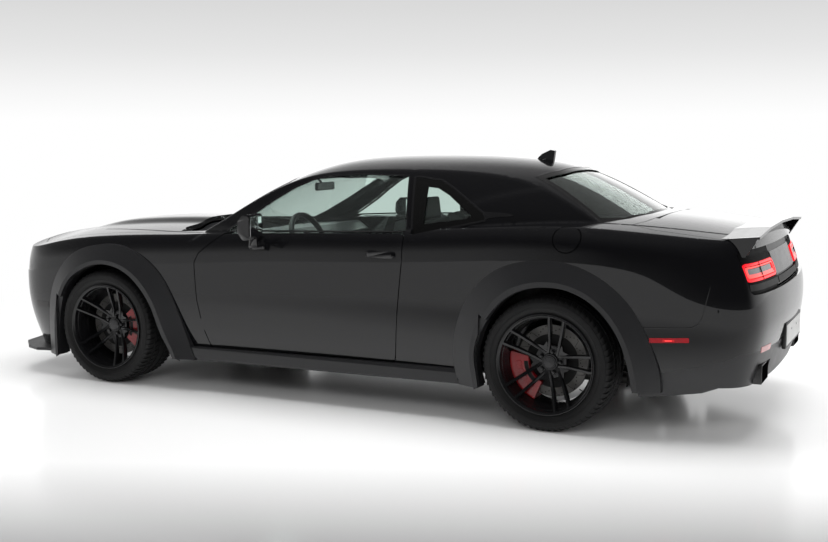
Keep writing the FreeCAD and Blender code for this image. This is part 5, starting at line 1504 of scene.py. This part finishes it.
for side, sign in SIDES:
    lamp = Gathered()
    path = loop_path(LAMP_INNER, LAMP_OUTER, LAMP_LOW, LAMP_HIGH, LOOP_CORNER, sign)
    lamp.add(loop_tube(path, 0.0075, 0.009, 0.004), 0)
    path = loop_path(LAMP_INNER + 0.022, LAMP_OUTER - 0.016, LAMP_LOW + 0.014, LAMP_HIGH - 0.014, 0.016, sign)
    lamp.add(loop_tube(path, 0.004, 0.010, 0.003), 4)
    for low, high, inner, outer, columns, rows, lift, finish in lamp_plates:
        lamp.add(face_plate(low, high, (sign * inner, sign * outer), columns, rows, lift), finish)
    lamp.made(f"lamp_light_{side}", [lamp_glow, lamp_black, lens_pale, lens_rose, lamp_core], "chassis")
print("lamps made")

# %% [markdown]
# ## Centre panel, lower bar and plate
# Between the lamps a plain satin panel closes the recess, and a dark bar runs under lamps and
# panel across the whole width. The bar's ends belong to the body and its middle to the lid, so each
# rides on its own body and the bar parts when the lid opens. The number plate is a plain sheet on a
# black holder, with its two screws in the part's holes. Boxes and plates are enough for both.

# %% Centre panel, lower bar and plate
BAR_LOW, BAR_HIGH, BAR_OUT = 0.785, 0.818, 0.012
BAR_OUTER, BAR_INNER, LID_BAR_HALF = 0.783, 0.340, 0.322
PANEL_HEIGHTS, PANEL_HALF = (0.830, 0.950), 0.318
PLATE_Y, PLATE_LOW, PLATE_HIGH = 0.260, 0.428, 0.540
PLATE_X = -2.5005
PLATE_SCREW_Y, PLATE_SCREW_Z = 0.089, 0.50025
SCREW_HEAD, SCREW_RADIUS = 0.004, 0.006
HOLDER_SIDE, HOLDER_EDGE, HOLDER_DEPTH = 0.022, 0.014, 0.022
panel_grey = plastic("panel_grey", (0.035, 0.035, 0.037), 0.22, 1200.0, 0.00005, 0.1)
plate_white = plastic("plate_white", (0.62, 0.62, 0.61), 0.35, 600.0, 0.0001, 0.2)
plate_black = plastic("plate_black", (0.006, 0.006, 0.006), 0.35)
screw_steel = metal("screw_steel", (0.45, 0.45, 0.45), 0.3)

bar_ends = Gathered()
for side, sign in SIDES:
    bar_ends.add(face_plate(BAR_LOW, BAR_HIGH, (sign * BAR_OUTER, sign * BAR_INNER), 16, 5, BAR_OUT), 0)
bar_ends.made("tail_bar_sides", [bar_black], "chassis")
bar_middle = Gathered()
bar_middle.add(face_plate(BAR_LOW, BAR_HIGH, (-LID_BAR_HALF, LID_BAR_HALF), 20, 5, BAR_OUT), 0)
bar_middle.add(face_plate(*PANEL_HEIGHTS, (-PANEL_HALF, PANEL_HALF), 20, 6, 0.006), 1)
bar_middle.made("tail_bar_middle", [bar_black, panel_grey], "trunk_lid")
plate, plate_front = Gathered(), PLATE_X + 0.0005
plate.add(block((plate_front, -PLATE_Y - HOLDER_SIDE, PLATE_LOW - HOLDER_EDGE),
                (PLATE_X + HOLDER_DEPTH, PLATE_Y + HOLDER_SIDE, PLATE_HIGH + HOLDER_EDGE), 0.004), 0)
plate.add(block((PLATE_X - 0.0015, -PLATE_Y, PLATE_LOW), (plate_front, PLATE_Y, PLATE_HIGH), 0.0005), 1)
for side, sign in SIDES:
    screw = Vector((PLATE_X, sign * PLATE_SCREW_Y, PLATE_SCREW_Z))
    plate.add(rod(screw - Vector((SCREW_HEAD, 0, 0)), screw, SCREW_RADIUS, 14), 2)
plate.made("number_plate", [plate_black, plate_white, screw_steel], "chassis")
print("panel, bar and plate made")

# %% [markdown]
# ## Side markers and reflectors
# The red marker on each rear corner glows in its middle, and a pale reflector sits low on the bumper. A
# picture of them on the paint would be flat and wouldn't catch light, so each lens is a thin plate
# laid on the wall, point by point, with its bright middle as a second plate on top.

# %% Side markers and reflectors
# Marker corners: place along the car and height, from its front top round to its front bottom
MARKER_X, MARKER_TOP, MARKER_LOW = (-1.925, -2.122), (0.540, 0.551), (0.515, 0.527)
FRONT_MARKER_X, FRONT_MARKER_TOP, FRONT_MARKER_LOW = (2.225, 2.095), (0.482, 0.482), (0.440, 0.448)
marker_red = plastic("marker_red", (0.30, 0.004, 0.010), 0.12, 500.0, 0.0001, 0.2)
marker_glow = glow("marker_glow", (1.0, 0.05, 0.05), 2.0)
marker_rim = glow("marker_rim", (1.0, 0.02, 0.03), 0.55)
marker_smoke = plastic("marker_smoke", (0.010, 0.008, 0.008), 0.1, 500.0, 0.0001, 0.2)
reflector = plastic("reflector", (0.60, 0.30, 0.30), 0.12, 700.0, 0.0003, 0.5)


def wall_plate(places, tops, lows, side, share_range, columns, rows, lift, sink=0.003):
    """A plate on the car's side between two slanted lines."""
    spots = []
    for i in range(rows):
        row = []
        for j in range(columns):
            share = share_range[0] + (share_range[1] - share_range[0]) * j / (columns - 1)
            x = places[0] + (places[1] - places[0]) * share
            top, low = tops[0] + (tops[1] - tops[0]) * share, lows[0] + (lows[1] - lows[0]) * share
            row.append(side_spot(x, low + (top - low) * i / (rows - 1), side))
        spots.append(row)
    return laid_plate(spots, lift, sink)


for side, sign in SIDES:
    marks = Gathered()
    marks.add(wall_plate(MARKER_X, MARKER_TOP, MARKER_LOW, sign, (0.0, 1.0), 12, 4, 0.0022), 0)
    marks.add(wall_plate(MARKER_X, (0.534, 0.540), (0.521, 0.533), sign, (0.34, 0.64), 6, 3, 0.0030), 2)
    marks.add(wall_plate(MARKER_X, (0.531, 0.537), (0.524, 0.535), sign, (0.40, 0.57), 5, 3, 0.0036), 1)
    marks.add(wall_plate(FRONT_MARKER_X, FRONT_MARKER_TOP, FRONT_MARKER_LOW, sign, (0.0, 1.0), 8, 3,
                         0.0018), 3)
    marks.made(f"markers_{side}", [marker_red, marker_glow, marker_rim, marker_smoke], "chassis")
    low_light = Gathered().add(face_plate(0.462, 0.492, (sign * 0.560, sign * 0.700), 8, 3,
                                          LAMP_SINK + 0.0025), 0)
    low_light.made(f"reflector_{side}", [reflector], "chassis")
print("markers made")

# %% [markdown]
# ## Exhaust tips and bumper seam
# The exhaust ends are dark sleeves, and each bore is a thin black plate of painted shade, since an open
# pipe always looks black inside. The seam between the quarter panel and the rear bumper is a fine line
# that catches the light on one edge. Cutting it would split the panel, so it is a thin rounded bead laid
# along the wall.

# %% Exhaust tips and bumper seam
TIP_Y, TIP_Z, TIP_HALF_Y, TIP_HALF_Z, TIP_X = 0.59, 0.345, 0.095, 0.048, -2.440
TIP_WALL, TIP_LONG, BORE_EDGE = 0.003, 0.090, 0.004
tip_black = plastic("tip_black", (0.012, 0.012, 0.012), 0.25, 900.0, 0.0001, 0.2)
# Black of the bores: painted shade of an open pipe.
bore_shade = plastic("bore_shade", (0.002, 0.002, 0.002), 0.9, sheen=0.0)
trim_black = plastic("trim_black", (0.007, 0.007, 0.0075), 0.22, 900.0, 0.0001, 0.15)


def bead(points, half, rise, sink=0.001, closed=False):
    """A thin rounded strip along points on a surface; points are (place, outward way)."""
    section = [(-sink, -half), (rise * 0.6, -half * 0.8), (rise, 0.0), (rise * 0.6, half * 0.8),
               (-sink, half)]
    return sweep([p for p, _ in points], [w for _, w in points], section, closed)


def filled(outline, step, closed=False):
    """More points along a line of (a, b) pairs, at most a step apart."""
    ends = outline + outline[:1] if closed else outline
    spots = []
    for (a, b), (c, d) in zip(ends, ends[1:]):
        pieces = max(1, math.ceil(math.hypot(c - a, d - b) / step))
        spots += [(a + (c - a) * i / pieces, b + (d - b) * i / pieces) for i in range(pieces)]
    return spots if closed else spots + [outline[-1]]


# The bumper seam, from the deck's corner down and forward: place along the car, height
seam_places = [(-2.268, 0.985), (-2.240, 0.915), (-2.217, 0.82), (-2.196, 0.72), (-2.184, 0.660),
               (-2.165, 0.622), (-2.135, 0.604), (-2.08, 0.598), (-1.98, 0.594), (-1.885, 0.590)]
for side, sign in SIDES:
    line = [side_spot(x, z, sign) for x, z in filled(seam_places, 0.03)]
    Gathered().add(bead(line, 0.0024, 0.0016)).made(f"bumper_seam_{side}", [black_paint], "chassis")
    tip = Gathered()
    low = (TIP_X - TIP_WALL, sign * TIP_Y - TIP_HALF_Y - TIP_WALL, TIP_Z - TIP_HALF_Z - TIP_WALL)
    high = (TIP_X + TIP_LONG, sign * TIP_Y + TIP_HALF_Y + TIP_WALL, TIP_Z + TIP_HALF_Z + TIP_WALL)
    tip.add(block(low, high, 0.006), 0)
    # The bore: a thin black plate just behind the sleeve's end, painted shade of the open pipe.
    inner_low = (TIP_X - BORE_EDGE, sign * TIP_Y - TIP_HALF_Y + BORE_EDGE, TIP_Z - TIP_HALF_Z + BORE_EDGE)
    inner_high = (TIP_X - 0.0028, sign * TIP_Y + TIP_HALF_Y - BORE_EDGE, TIP_Z + TIP_HALF_Z - BORE_EDGE)
    tip.add(block(inner_low, inner_high), 1)
    tip.made(f"exhaust_tip_{side}", [tip_black, bore_shade], "chassis", "exhaust_steel")
print("tips and seams made")

# %% [markdown]
# ## Window surrounds
# Car windows have a black printed band round their edge, which hides the glue, and a rubber or gloss
# strip outside it. Both follow the glass, so each is worked out from the window's outline and laid on
# the body's own surface. On the quarter window the band is wide at the front and foot.

# %% Window surrounds
door_window_places = [(0.71, 0.684), (0.644, 0.765), (0.613, 0.808), (0.57, 0.861), (0.527, 0.897),
                      (0.491, 0.914), (0.425, 0.922), (0.316, 0.917), (0.295, 0.711), (0.618, 0.693)]
quarter_window_places = [(0.3, 0.914), (0.245, 0.901), (0.215, 0.869), (0.14, 0.771), (0.143, 0.759),
                         (0.28, 0.699)]
quarter_band_inner = [(0.268, 0.878), (0.248, 0.874), (0.222, 0.848), (0.168, 0.772), (0.178, 0.762),
                      (0.262, 0.738)]
windscreen_places = [(0.878, 0.0), (0.873, 0.313), (0.851, 0.585), (0.81, 0.721), (0.773, 0.744),
                     (0.695, 0.742), (0.644, 0.715), (0.598, 0.669), (0.607, 0.564), (0.631, 0.313),
                     (0.639, 0.0)]
back_window_places = [(0.049, 0.0), (0.053, 0.313), (0.07, 0.569), (-0.195, 0.75), (-0.283, 0.543),
                      (-0.332, 0.261), (-0.34, 0.0)]
band_black = plastic("band_black", (0.004, 0.004, 0.004), 0.12, 900.0, 0.00002, 0.1, sheen=0.4)


def top_spot(x, y):
    """The roof or window surface under a place: point and outward way."""
    hit = surfaces[3].tree.ray_cast(Vector((x, y, 3.0)), Vector((0, 0, -1)))
    if hit[0] is None:
        return surfaces[3].near(Vector((x, y, 1.1)), 0.5)[:2]
    return surfaces[3].near(hit[0], 0.05)[:2]


def cabin_side_spot(x, z, side=1):
    hit = surfaces[2].tree.ray_cast(Vector((x, side * 2.0, z)), Vector((0, -side, 0)))
    if hit[0] is None:
        return side_spot(x, z, side)
    found = surfaces[2].near(hit[0], 0.05)
    return found[0], found[1]


def in_metres(places, scale):
    return [(X(a), b * scale) for a, b in places]


def inset(outline, amount):
    """An outline drawn in towards its middle by about an amount; negative goes out."""
    count = len(outline)
    middle = Vector((sum(p[0] for p in outline) / count, sum(p[1] for p in outline) / count))
    drawn = []
    for i, spot in enumerate(outline):
        before, after = Vector(outline[i - 1]), Vector(outline[(i + 1) % count])
        way = (after - before).normalized()
        inward = Vector((-way.y, way.x))
        if inward.dot(middle - Vector(spot)) < 0:
            inward = -inward
        drawn.append(tuple(Vector(spot) + inward * amount))
    return drawn


def band(outer, inner, lay, lift, sink=0.0005):
    """A flat band between two outlines of as many points, laid on a surface."""
    spots = []
    for share in (0.0, 0.5, 1.0):
        row = [lay(a + (c - a) * share, b + (d - b) * share) for (a, b), (c, d) in zip(outer, inner)]
        spots.append(row + row[:1])
    return laid_plate(spots, lift, sink)


def both_halves(places, scale):
    """A window outline given on one side, closed over to the other."""
    half = in_metres(places, scale)
    mirrored = [(x, -y) for x, y in reversed(half) if y > 0]
    return half + mirrored


print("window outlines", len(door_window_places), len(quarter_window_places))

# %% [markdown]
# ## Strips and bands of every window
# The side windows lie on the glasshouse's side, and windscreen and back window on its top, so each asks
# its own surface for its places. The door's strip rides with the door, the others with the body. The
# small teardrop behind the quarter window is a plate drawn from its outline in to one point.

# %% Strips and bands of every window


for side, sign in SIDES:
    lay = partial(cabin_side_spot, side=sign)
    door_line = filled(in_metres(door_window_places, HEIGHT), 0.03, True)
    Gathered().add(bead([lay(x, z) for x, z in inset(door_line, -0.004)], 0.0055, 0.0035, 0.001, True)).made(
        f"door_glass_trim_{side}", [trim_black], f"door_{side}")
    quarter_line = filled(in_metres(quarter_window_places, HEIGHT), 0.02, True)
    inner_line = []
    outer_ends, inner_ends = in_metres(quarter_window_places, HEIGHT), in_metres(quarter_band_inner, HEIGHT)
    for i, (a, b) in enumerate(outer_ends):
        c, d = outer_ends[(i + 1) % len(outer_ends)]
        e, f = inner_ends[i]
        g, h = inner_ends[(i + 1) % len(inner_ends)]
        pieces = max(1, math.ceil(math.hypot(c - a, d - b) / 0.02))
        inner_line += [(e + (g - e) * k / pieces, f + (h - f) * k / pieces) for k in range(pieces)]
    surround = Gathered()
    surround.add(band(quarter_line, inner_line, lay, 0.0012), 1)
    surround.add(bead([lay(x, z) for x, z in inset(quarter_line, -0.006)], 0.0075, 0.004, 0.001, True), 0)
    tear = [(0.150, 0.790), (0.110, 0.787), (0.094, 0.783), (0.088, 0.778), (0.094, 0.774),
            (0.118, 0.771), (0.142, 0.762)]
    tear_line = filled(in_metres(tear, HEIGHT), 0.015, True)
    heart = (X(0.120), 0.778 * HEIGHT)
    surround.add(band(tear_line, [heart] * len(tear_line), lay, 0.0022), 0)
    surround.made(f"quarter_glass_trim_{side}", [trim_black, band_black], "chassis")
# Windows on the top: name, outline, width of the black band
top_windows = [("windscreen", windscreen_places, 0.045), ("rear_window", back_window_places, 0.038)]
for name, places, wide in top_windows:
    line = filled(both_halves(places, HALF), 0.03, True)
    edge = Gathered()
    edge.add(band(inset(line, 0.002), inset(line, wide), top_spot, 0.0012), 1)
    edge.add(bead([top_spot(x, y) for x, y in inset(line, -0.003)], 0.005, 0.003, 0.001, True), 0)
    edge.made(f"{name}_trim", [trim_black, band_black], "chassis")
print("window trims made")

# %% [markdown]
# ## Mirrors and fuel lid
# The mirror glass is a small flat plate of polished metal in a black shell. It needs no picture on it,
# because it shows the studio by itself. The round fuel lid carries a raised ring with twelve small
# screws and a paler cap; both are turned round the lid's own axis, as on a lathe.

# %% Mirrors and fuel lid
mirror_silver = metal("mirror_silver", (0.85, 0.87, 0.88), 0.03, 1.0, 200.0, 0.00001)
cap_metal = metal("cap_metal", (0.16, 0.16, 0.165), 0.35)
FUEL_CENTRE, FUEL_WAY = Vector((-1.47613, 0.89382, 1.01125)), Vector((0.0, 0.8412, 0.5408))
FUEL_RADIUS, FUEL_SCREWS, FUEL_SCREW_CIRCLE = 0.0785, 12, 0.0692
MIRROR_X, MIRROR_Y, MIRROR_Z, MIRROR_HALF = (0.3815, 0.386), 1.019, (0.982, 1.098), 0.058
for side, sign in SIDES:
    middle = sign * MIRROR_Y
    mirror = Gathered()
    mirror.add(block((MIRROR_X[0], middle - MIRROR_HALF, MIRROR_Z[0]),
                     (MIRROR_X[1], middle + MIRROR_HALF, MIRROR_Z[1]), 0.0015), 0)
    mirror.made(f"mirror_glass_{side}", [mirror_silver], f"door_{side}")
lid = Gathered()
ring = [(-0.002, 0.060), (0.0035, 0.0615), (0.0045, 0.066), (0.0045, 0.073), (0.0030, FUEL_RADIUS - 0.001),
        (-0.002, FUEL_RADIUS - 0.001)]
lid.add(lathe(ring, FUEL_CENTRE, 64, True, FUEL_WAY), 0)
cap = [(-0.001, 0.0), (-0.001, 0.047), (0.0025, 0.046), (0.0030, 0.0)]
lid.add(lathe(cap, FUEL_CENTRE, 48, False, FUEL_WAY), 1)
side_way = Vector((1, 0, 0))
up_way = FUEL_WAY.cross(side_way)
for k in range(FUEL_SCREWS):
    turn = math.radians(360 / FUEL_SCREWS * k)
    place = FUEL_CENTRE + (side_way * math.cos(turn) + up_way * math.sin(turn)) * FUEL_SCREW_CIRCLE
    lid.add(rod(place + FUEL_WAY * 0.003, place + FUEL_WAY * 0.0058, 0.0024, 8), 1)
lid.add(rod(FUEL_CENTRE + FUEL_WAY * 0.002, FUEL_CENTRE + FUEL_WAY * 0.0052, 0.034, 40, 0.031), 2)
lid.made("fuel_ring", [trim_black, gloss_black, cap_metal], "fuel_lid")
print("mirrors and fuel lid made")

# %% [markdown]
# ## Arch edges and lower hinge covers
# The flares turn inward at the wheel opening. The turned edge is a strip laid round the opening, a
# little inside it, so the tyre keeps its room. It could be a bevel on the flare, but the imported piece
# keeps its shape. A small cover closes the door skin over the lower hinge and rides with the door.

# %% Arch edges and hinge covers
ARCH_RADIUS = 0.405
# The opening's outline round each axle, in arch radii: ahead and up
arch_shares = {
    "front": [(0.965, -0.52), (0.965, -0.13), (0.857, 0.45), (0.662, 0.738), (0.43, 0.889),
              (0.151, 0.983), (-0.151, 0.983), (-0.48, 0.868), (-0.728, 0.662), (-0.955, 0.333),
              (-1.123, -0.052), (-1.254, -0.262), (-1.314, -0.4)],
    "rear": [(0.919, -0.383), (0.958, -0.148), (0.978, 0.101), (0.869, 0.444), (0.647, 0.753),
             (0.407, 0.928), (0.123, 1.012), (-0.247, 1.005), (-0.531, 0.901), (-0.815, 0.667),
             (-1.017, 0.346), (-1.106, 0.074), (-1.17, -0.247)],
}
# Rows of the turned edge: how far out from the opening as a share of its radius, and place across
arch_edge_rows = [(1.085, 0.974), (1.0, 0.974), (1.0, 0.940), (1.0, 0.905)]
HINGE_COVER_X, HINGE_COVER_TOP, HINGE_COVER_LOW = (0.726, 0.862), (0.454, 0.454), (0.384, 0.384)


def rounded(a, b, c, d, t):
    """A value between b and c that leaves b and reaches c in line with a and d."""
    bend, twist = 2 * a - 5 * b + 4 * c - d, 3 * b - a - 3 * c + d
    return 0.5 * (2 * b + (c - a) * t + bend * t * t + twist * t ** 3)


def smooth_line(points, pieces):
    """A line through points, rounded between them."""
    spots = []
    for i in range(len(points) - 1):
        a, b = points[max(i - 1, 0)], points[i]
        c, d = points[i + 1], points[min(i + 2, len(points) - 1)]
        for k in range(pieces):
            t = k / pieces
            spots.append(tuple(rounded(a[j], b[j], c[j], d[j], t) for j in range(2)))
    return spots + [points[-1]]


for side, sign in SIDES:
    edges = Gathered()
    for end, x in AXLE_X.items():
        line = smooth_line(arch_shares[end], 5)
        outer, ways = [], []
        for out, y in arch_edge_rows:
            reach = ARCH_RADIUS * out
            outer.append([Vector((x + a * reach, sign * y, AXLE_Z + b * reach)) for a, b in line])
            ways.append([Vector((0, -sign, 0)) if out > 1 else Vector((-a, 0, -b)).normalized()
                         for a, b in line])
        edges.add(plate_on(outer, ways, 0.003, 0.002))
    edges.made(f"arch_edges_{side}", [satin_black], "chassis", "satin_black")
    cover = wall_plate(HINGE_COVER_X, HINGE_COVER_TOP, HINGE_COVER_LOW, sign, (0.0, 1.0), 9, 5, 0.0004, 0.001)
    Gathered().add(cover).made(f"hinge_cover_{side}", [black_paint], f"door_{side}")
print("arch edges and hinge covers made")

# %% [markdown]
# ## Seats
# The seats are sports seats in black leather: a base and a back with raised side rolls, and a
# headrest. Each cushion is a closed, crowned form: a grid of points raised in the middle, sunk along the
# seams, and rounded down at its edges. Cloth simulation was left out, because leather this tight shows no
# folds; the crowns and seams carry the look.

# %% Seats
SEAT_Y, SEAT_HALF = 0.375, 0.235
BASE_CORNER_X, BASE_Z, BASE_LONG = X(0.372), 0.535, 0.50
BACK_CORNER_X, BACK_Z, BACK_LONG, BACK_LEAN = X(0.388), 0.575, 0.48, X(0.358) - X(0.394)
REST_CORNER_X, REST_Z, REST_HALF, REST_LONG = X(0.344), 1.072, 0.125, 0.115
leather = plastic("leather", (0.011, 0.011, 0.012), 0.40, 620.0, 0.0006, 0.5)


def cushion(corner, across, along_way, out_way, width, length, thick, crown, rolls, seams,
            columns=25, rows=21):
    """A crowned cushion on a frame of three ways; rolls lift its sides, seams sink lines across it."""
    top = []
    for i in range(rows):
        for j in range(columns):
            u, v = 2 * j / (columns - 1) - 1, 2 * i / (rows - 1) - 1
            edge = (1 - abs(u) ** 5) ** 0.5 * (1 - abs(v) ** 5) ** 0.5
            side_roll = rolls * math.exp(-((abs(u) - 0.78) / 0.16) ** 2)
            dip = sum(0.007 * math.exp(-((v - s) / 0.035) ** 2) for s in seams) if abs(u) < 0.62 else 0.0
            dip += 0.008 * math.exp(-((abs(u) - 0.60) / 0.035) ** 2)
            rise = thick * edge + (crown * (1 - u * u) * (1 - v * v) + side_roll) * edge - dip * edge
            top.append(corner + across * (u * width) + along_way * ((v + 1) / 2 * length) + out_way * rise)
    low = [corner + across * ((2 * j / (columns - 1) - 1) * width) + along_way * (i / (rows - 1) * length)
           for i in range(rows) for j in range(columns)]
    return top + low, slab_faces(rows, columns)


for side, sign in SIDES:
    across = Vector((0, 1, 0))
    seat = Gathered()
    low_way = Vector((0.995, 0, 0.09)).normalized()
    seat.add(cushion(Vector((BASE_CORNER_X, sign * SEAT_Y, BASE_Z)), across, low_way,
                     Vector((-low_way.z, 0, low_way.x)), SEAT_HALF, BASE_LONG, 0.030, 0.010, 0.032,
                     (-0.1, 0.45)), 0)
    back_way = Vector((BACK_LEAN, 0, BASE_LONG)).normalized()
    seat.add(cushion(Vector((BACK_CORNER_X, sign * SEAT_Y, BACK_Z)), across, back_way,
                     Vector((back_way.z, 0, -back_way.x)), SEAT_HALF, BACK_LONG, 0.026, 0.010, 0.036,
                     (-0.45, 0.0, 0.45)), 0)
    seat.made(f"seat_cushions_{side}", [leather], "chassis", "seat_cloth")
    rest = Gathered()
    rest_way = Vector((-0.06, 0, 1.0)).normalized()
    rest.add(cushion(Vector((REST_CORNER_X, sign * SEAT_Y, REST_Z)), across, rest_way,
                     Vector((1.0, 0, 0.06)).normalized(), REST_HALF, REST_LONG, 0.018, 0.012, 0.0, ()), 0)
    rest.made(f"head_rest_{side}", [leather], "chassis", "seat_cloth")
print("seats made")

# %% [markdown]
# ## Steering wheel
# The steering wheel has a thick leather rim, three flat spokes and a round pad. A torus and a few boxes
# would give its outline, but lathed rings and lofted spokes also give the tapers that show from outside.
# It rides on its own body, so that it turns with the front wheels.

# %% Steering wheel
WHEEL_MIDDLE, WHEEL_TILT, WHEEL_RING = Vector((0.405, 0.375, 0.900)), math.radians(24.0), 0.182
SPOKE_START = 0.06
wheel_out = Vector((-math.cos(WHEEL_TILT), 0, math.sin(WHEEL_TILT)))
wheel_up = Vector((math.sin(WHEEL_TILT), 0, math.cos(WHEEL_TILT)))
helm = Gathered()
grip = [(0.019 * math.cos(math.radians(a)),
         WHEEL_RING + 0.0165 * math.sin(math.radians(a))) for a in range(0, 360, 24)]
helm.add(lathe(grip, WHEEL_MIDDLE, 96, True, wheel_out), 0)
pad = [(-0.010, 0.0), (-0.010, 0.070), (0.004, 0.072), (0.012, 0.066), (0.016, 0.050), (0.018, 0.0)]
helm.add(lathe(pad, WHEEL_MIDDLE, 48, False, wheel_out), 1)
across = wheel_up.cross(wheel_out)
for way in (across, across * -1, wheel_up * -1):
    other = way.cross(wheel_out)
    spoke_grid = []
    for share, half in ((0.0, 0.030), (0.5, 0.022), (1.0, 0.026)):
        reach, lift = SPOKE_START + (WHEEL_RING - SPOKE_START - 0.008) * share, 0.004 - 0.004 * share
        middle = WHEEL_MIDDLE + way * reach + wheel_out * lift
        spoke_grid.append([middle + other * half * k for k in (-1.0, 0.0, 1.0)])
    helm.add(plate_on(spoke_grid, [[wheel_out] * 3] * 3, 0.006, 0.006), 1)
helm.made("wheel_and_pad", [leather, cabin_plastic], "steering_wheel", "cabin_plastic")
print("steering wheel made")

# %% [markdown]
# ## Dials and inner mirror
# The dash shows two dim, bluish dials behind the wheel and a dark screen in its middle, and a mirror hangs
# from the windscreen's top. Through tinted glass they are only faint shapes, so plain discs and
# blocks are enough, with the dials' glow set low.

# %% Dials and inner mirror
dial_blue = glow("dial_blue", (0.25, 0.35, 0.45), 0.5, (0.01, 0.012, 0.014))
DIAL_FACE_X, DIAL_Z, DIAL_RADIUS, DIAL_SPREAD = 0.5535, 0.868, 0.042, 0.062
cluster = Gathered()
for offset in (-DIAL_SPREAD, DIAL_SPREAD):
    centre = Vector((DIAL_FACE_X, WHEEL_MIDDLE.y + offset, DIAL_Z))
    cluster.add(rod(centre, centre - Vector((0.003, 0, 0)), DIAL_RADIUS, 32), 1)
    hood_ring = [(0.0, DIAL_RADIUS), (0.012, DIAL_RADIUS), (0.012, DIAL_RADIUS + 0.004),
                 (0.0, DIAL_RADIUS + 0.004)]
    cluster.add(lathe(hood_ring, centre, 40, True, Vector((-1, 0, 0))), 0)
cluster.add(block((DIAL_FACE_X - 0.004, -0.085, 0.800), (DIAL_FACE_X + 0.006, 0.085, 0.895), 0.004), 2)
cluster.made("dials_and_screen", [cabin_plastic, dial_blue, gloss_black], "chassis", "cabin_plastic")
inner_mirror = Gathered()
inner_mirror.add(block((0.500, -0.115, 1.205), (0.522, 0.115, 1.258), 0.009), 0)
inner_mirror.add(block((0.4985, -0.108, 1.211), (0.5005, 0.108, 1.252)), 1)
inner_mirror.add(rod((0.515, 0, 1.235), (0.560, 0, 1.278), 0.007, 12), 0)
inner_mirror.made("inner_mirror", [cabin_plastic, gloss_black], "chassis", "cabin_plastic")
print("dials and inner mirror made")

# %% [markdown]
# ## Lamps and wipers at the front
# Each round headlamp has a bright ring and a bulb bowl behind its clear cover, and two wipers rest at the
# foot of the windscreen. The rings are lathed round the lamps' own middles, whose depth is
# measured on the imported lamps, so they can't float or sink. The wipers are beads laid on the glass.

# %% Lamps and wipers at the front
HEADLAMP_Y, HEADLAMP_Z, HEADLAMP_RADIUS = (0.52, 0.66), 0.715, 0.060
WIPER_LINES = (((1.085, 0.58), (1.092, 0.06)), ((1.092, -0.06), (1.085, -0.55)))
NOSE_WAY = Vector((1, 0, 0))
lamp_ring = glow("lamp_ring", (0.90, 0.95, 1.0), 0.5, (0.5, 0.5, 0.5))
lamp_bowl = metal("lamp_bowl", (0.55, 0.56, 0.58), 0.12, 1.0, 200.0, 0.00001)


def front_of(name, y, z, reach):
    """How far forward a node's points go near a place across and up."""
    found = [v.co for v in nodes[name].data.vertices if abs(v.co.y - y) < reach and abs(v.co.z - z) < reach]
    return max(v.x for v in found)


for side, sign in SIDES:
    lamps = Gathered()
    for y in HEADLAMP_Y:
        centre = Vector((front_of("headlamps", sign * y, HEADLAMP_Z, HEADLAMP_RADIUS), sign * y, HEADLAMP_Z))
        ring = [(-0.004, 0.050), (0.0012, 0.051), (0.0012, 0.055), (-0.004, 0.056)]
        lamps.add(lathe(ring, centre, 48, True, NOSE_WAY), 0)
        bowl = [(-0.004, 0.030), (0.0012, 0.029), (0.0016, 0.018), (0.0018, 0.0)]
        lamps.add(lathe(bowl, centre, 40, False, NOSE_WAY), 1)
    lamps.made(f"headlamp_rings_{side}", [lamp_ring, lamp_bowl], "chassis")
for number, (start, end) in enumerate(WIPER_LINES):
    steps = 14
    line = [top_spot(start[0] + (end[0] - start[0]) * i / (steps - 1),
                     start[1] + (end[1] - start[1]) * i / (steps - 1))
            for i in range(steps)]
    Gathered().add(bead(line, 0.005, 0.011, 0.0)).made(f"wiper_{number}", [satin_black], "chassis")
print("front pieces made")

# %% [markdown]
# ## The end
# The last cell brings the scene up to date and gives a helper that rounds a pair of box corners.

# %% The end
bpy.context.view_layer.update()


def plain(box_pair):
    return [[round(float(v), 5) for v in corner] for corner in box_pair]
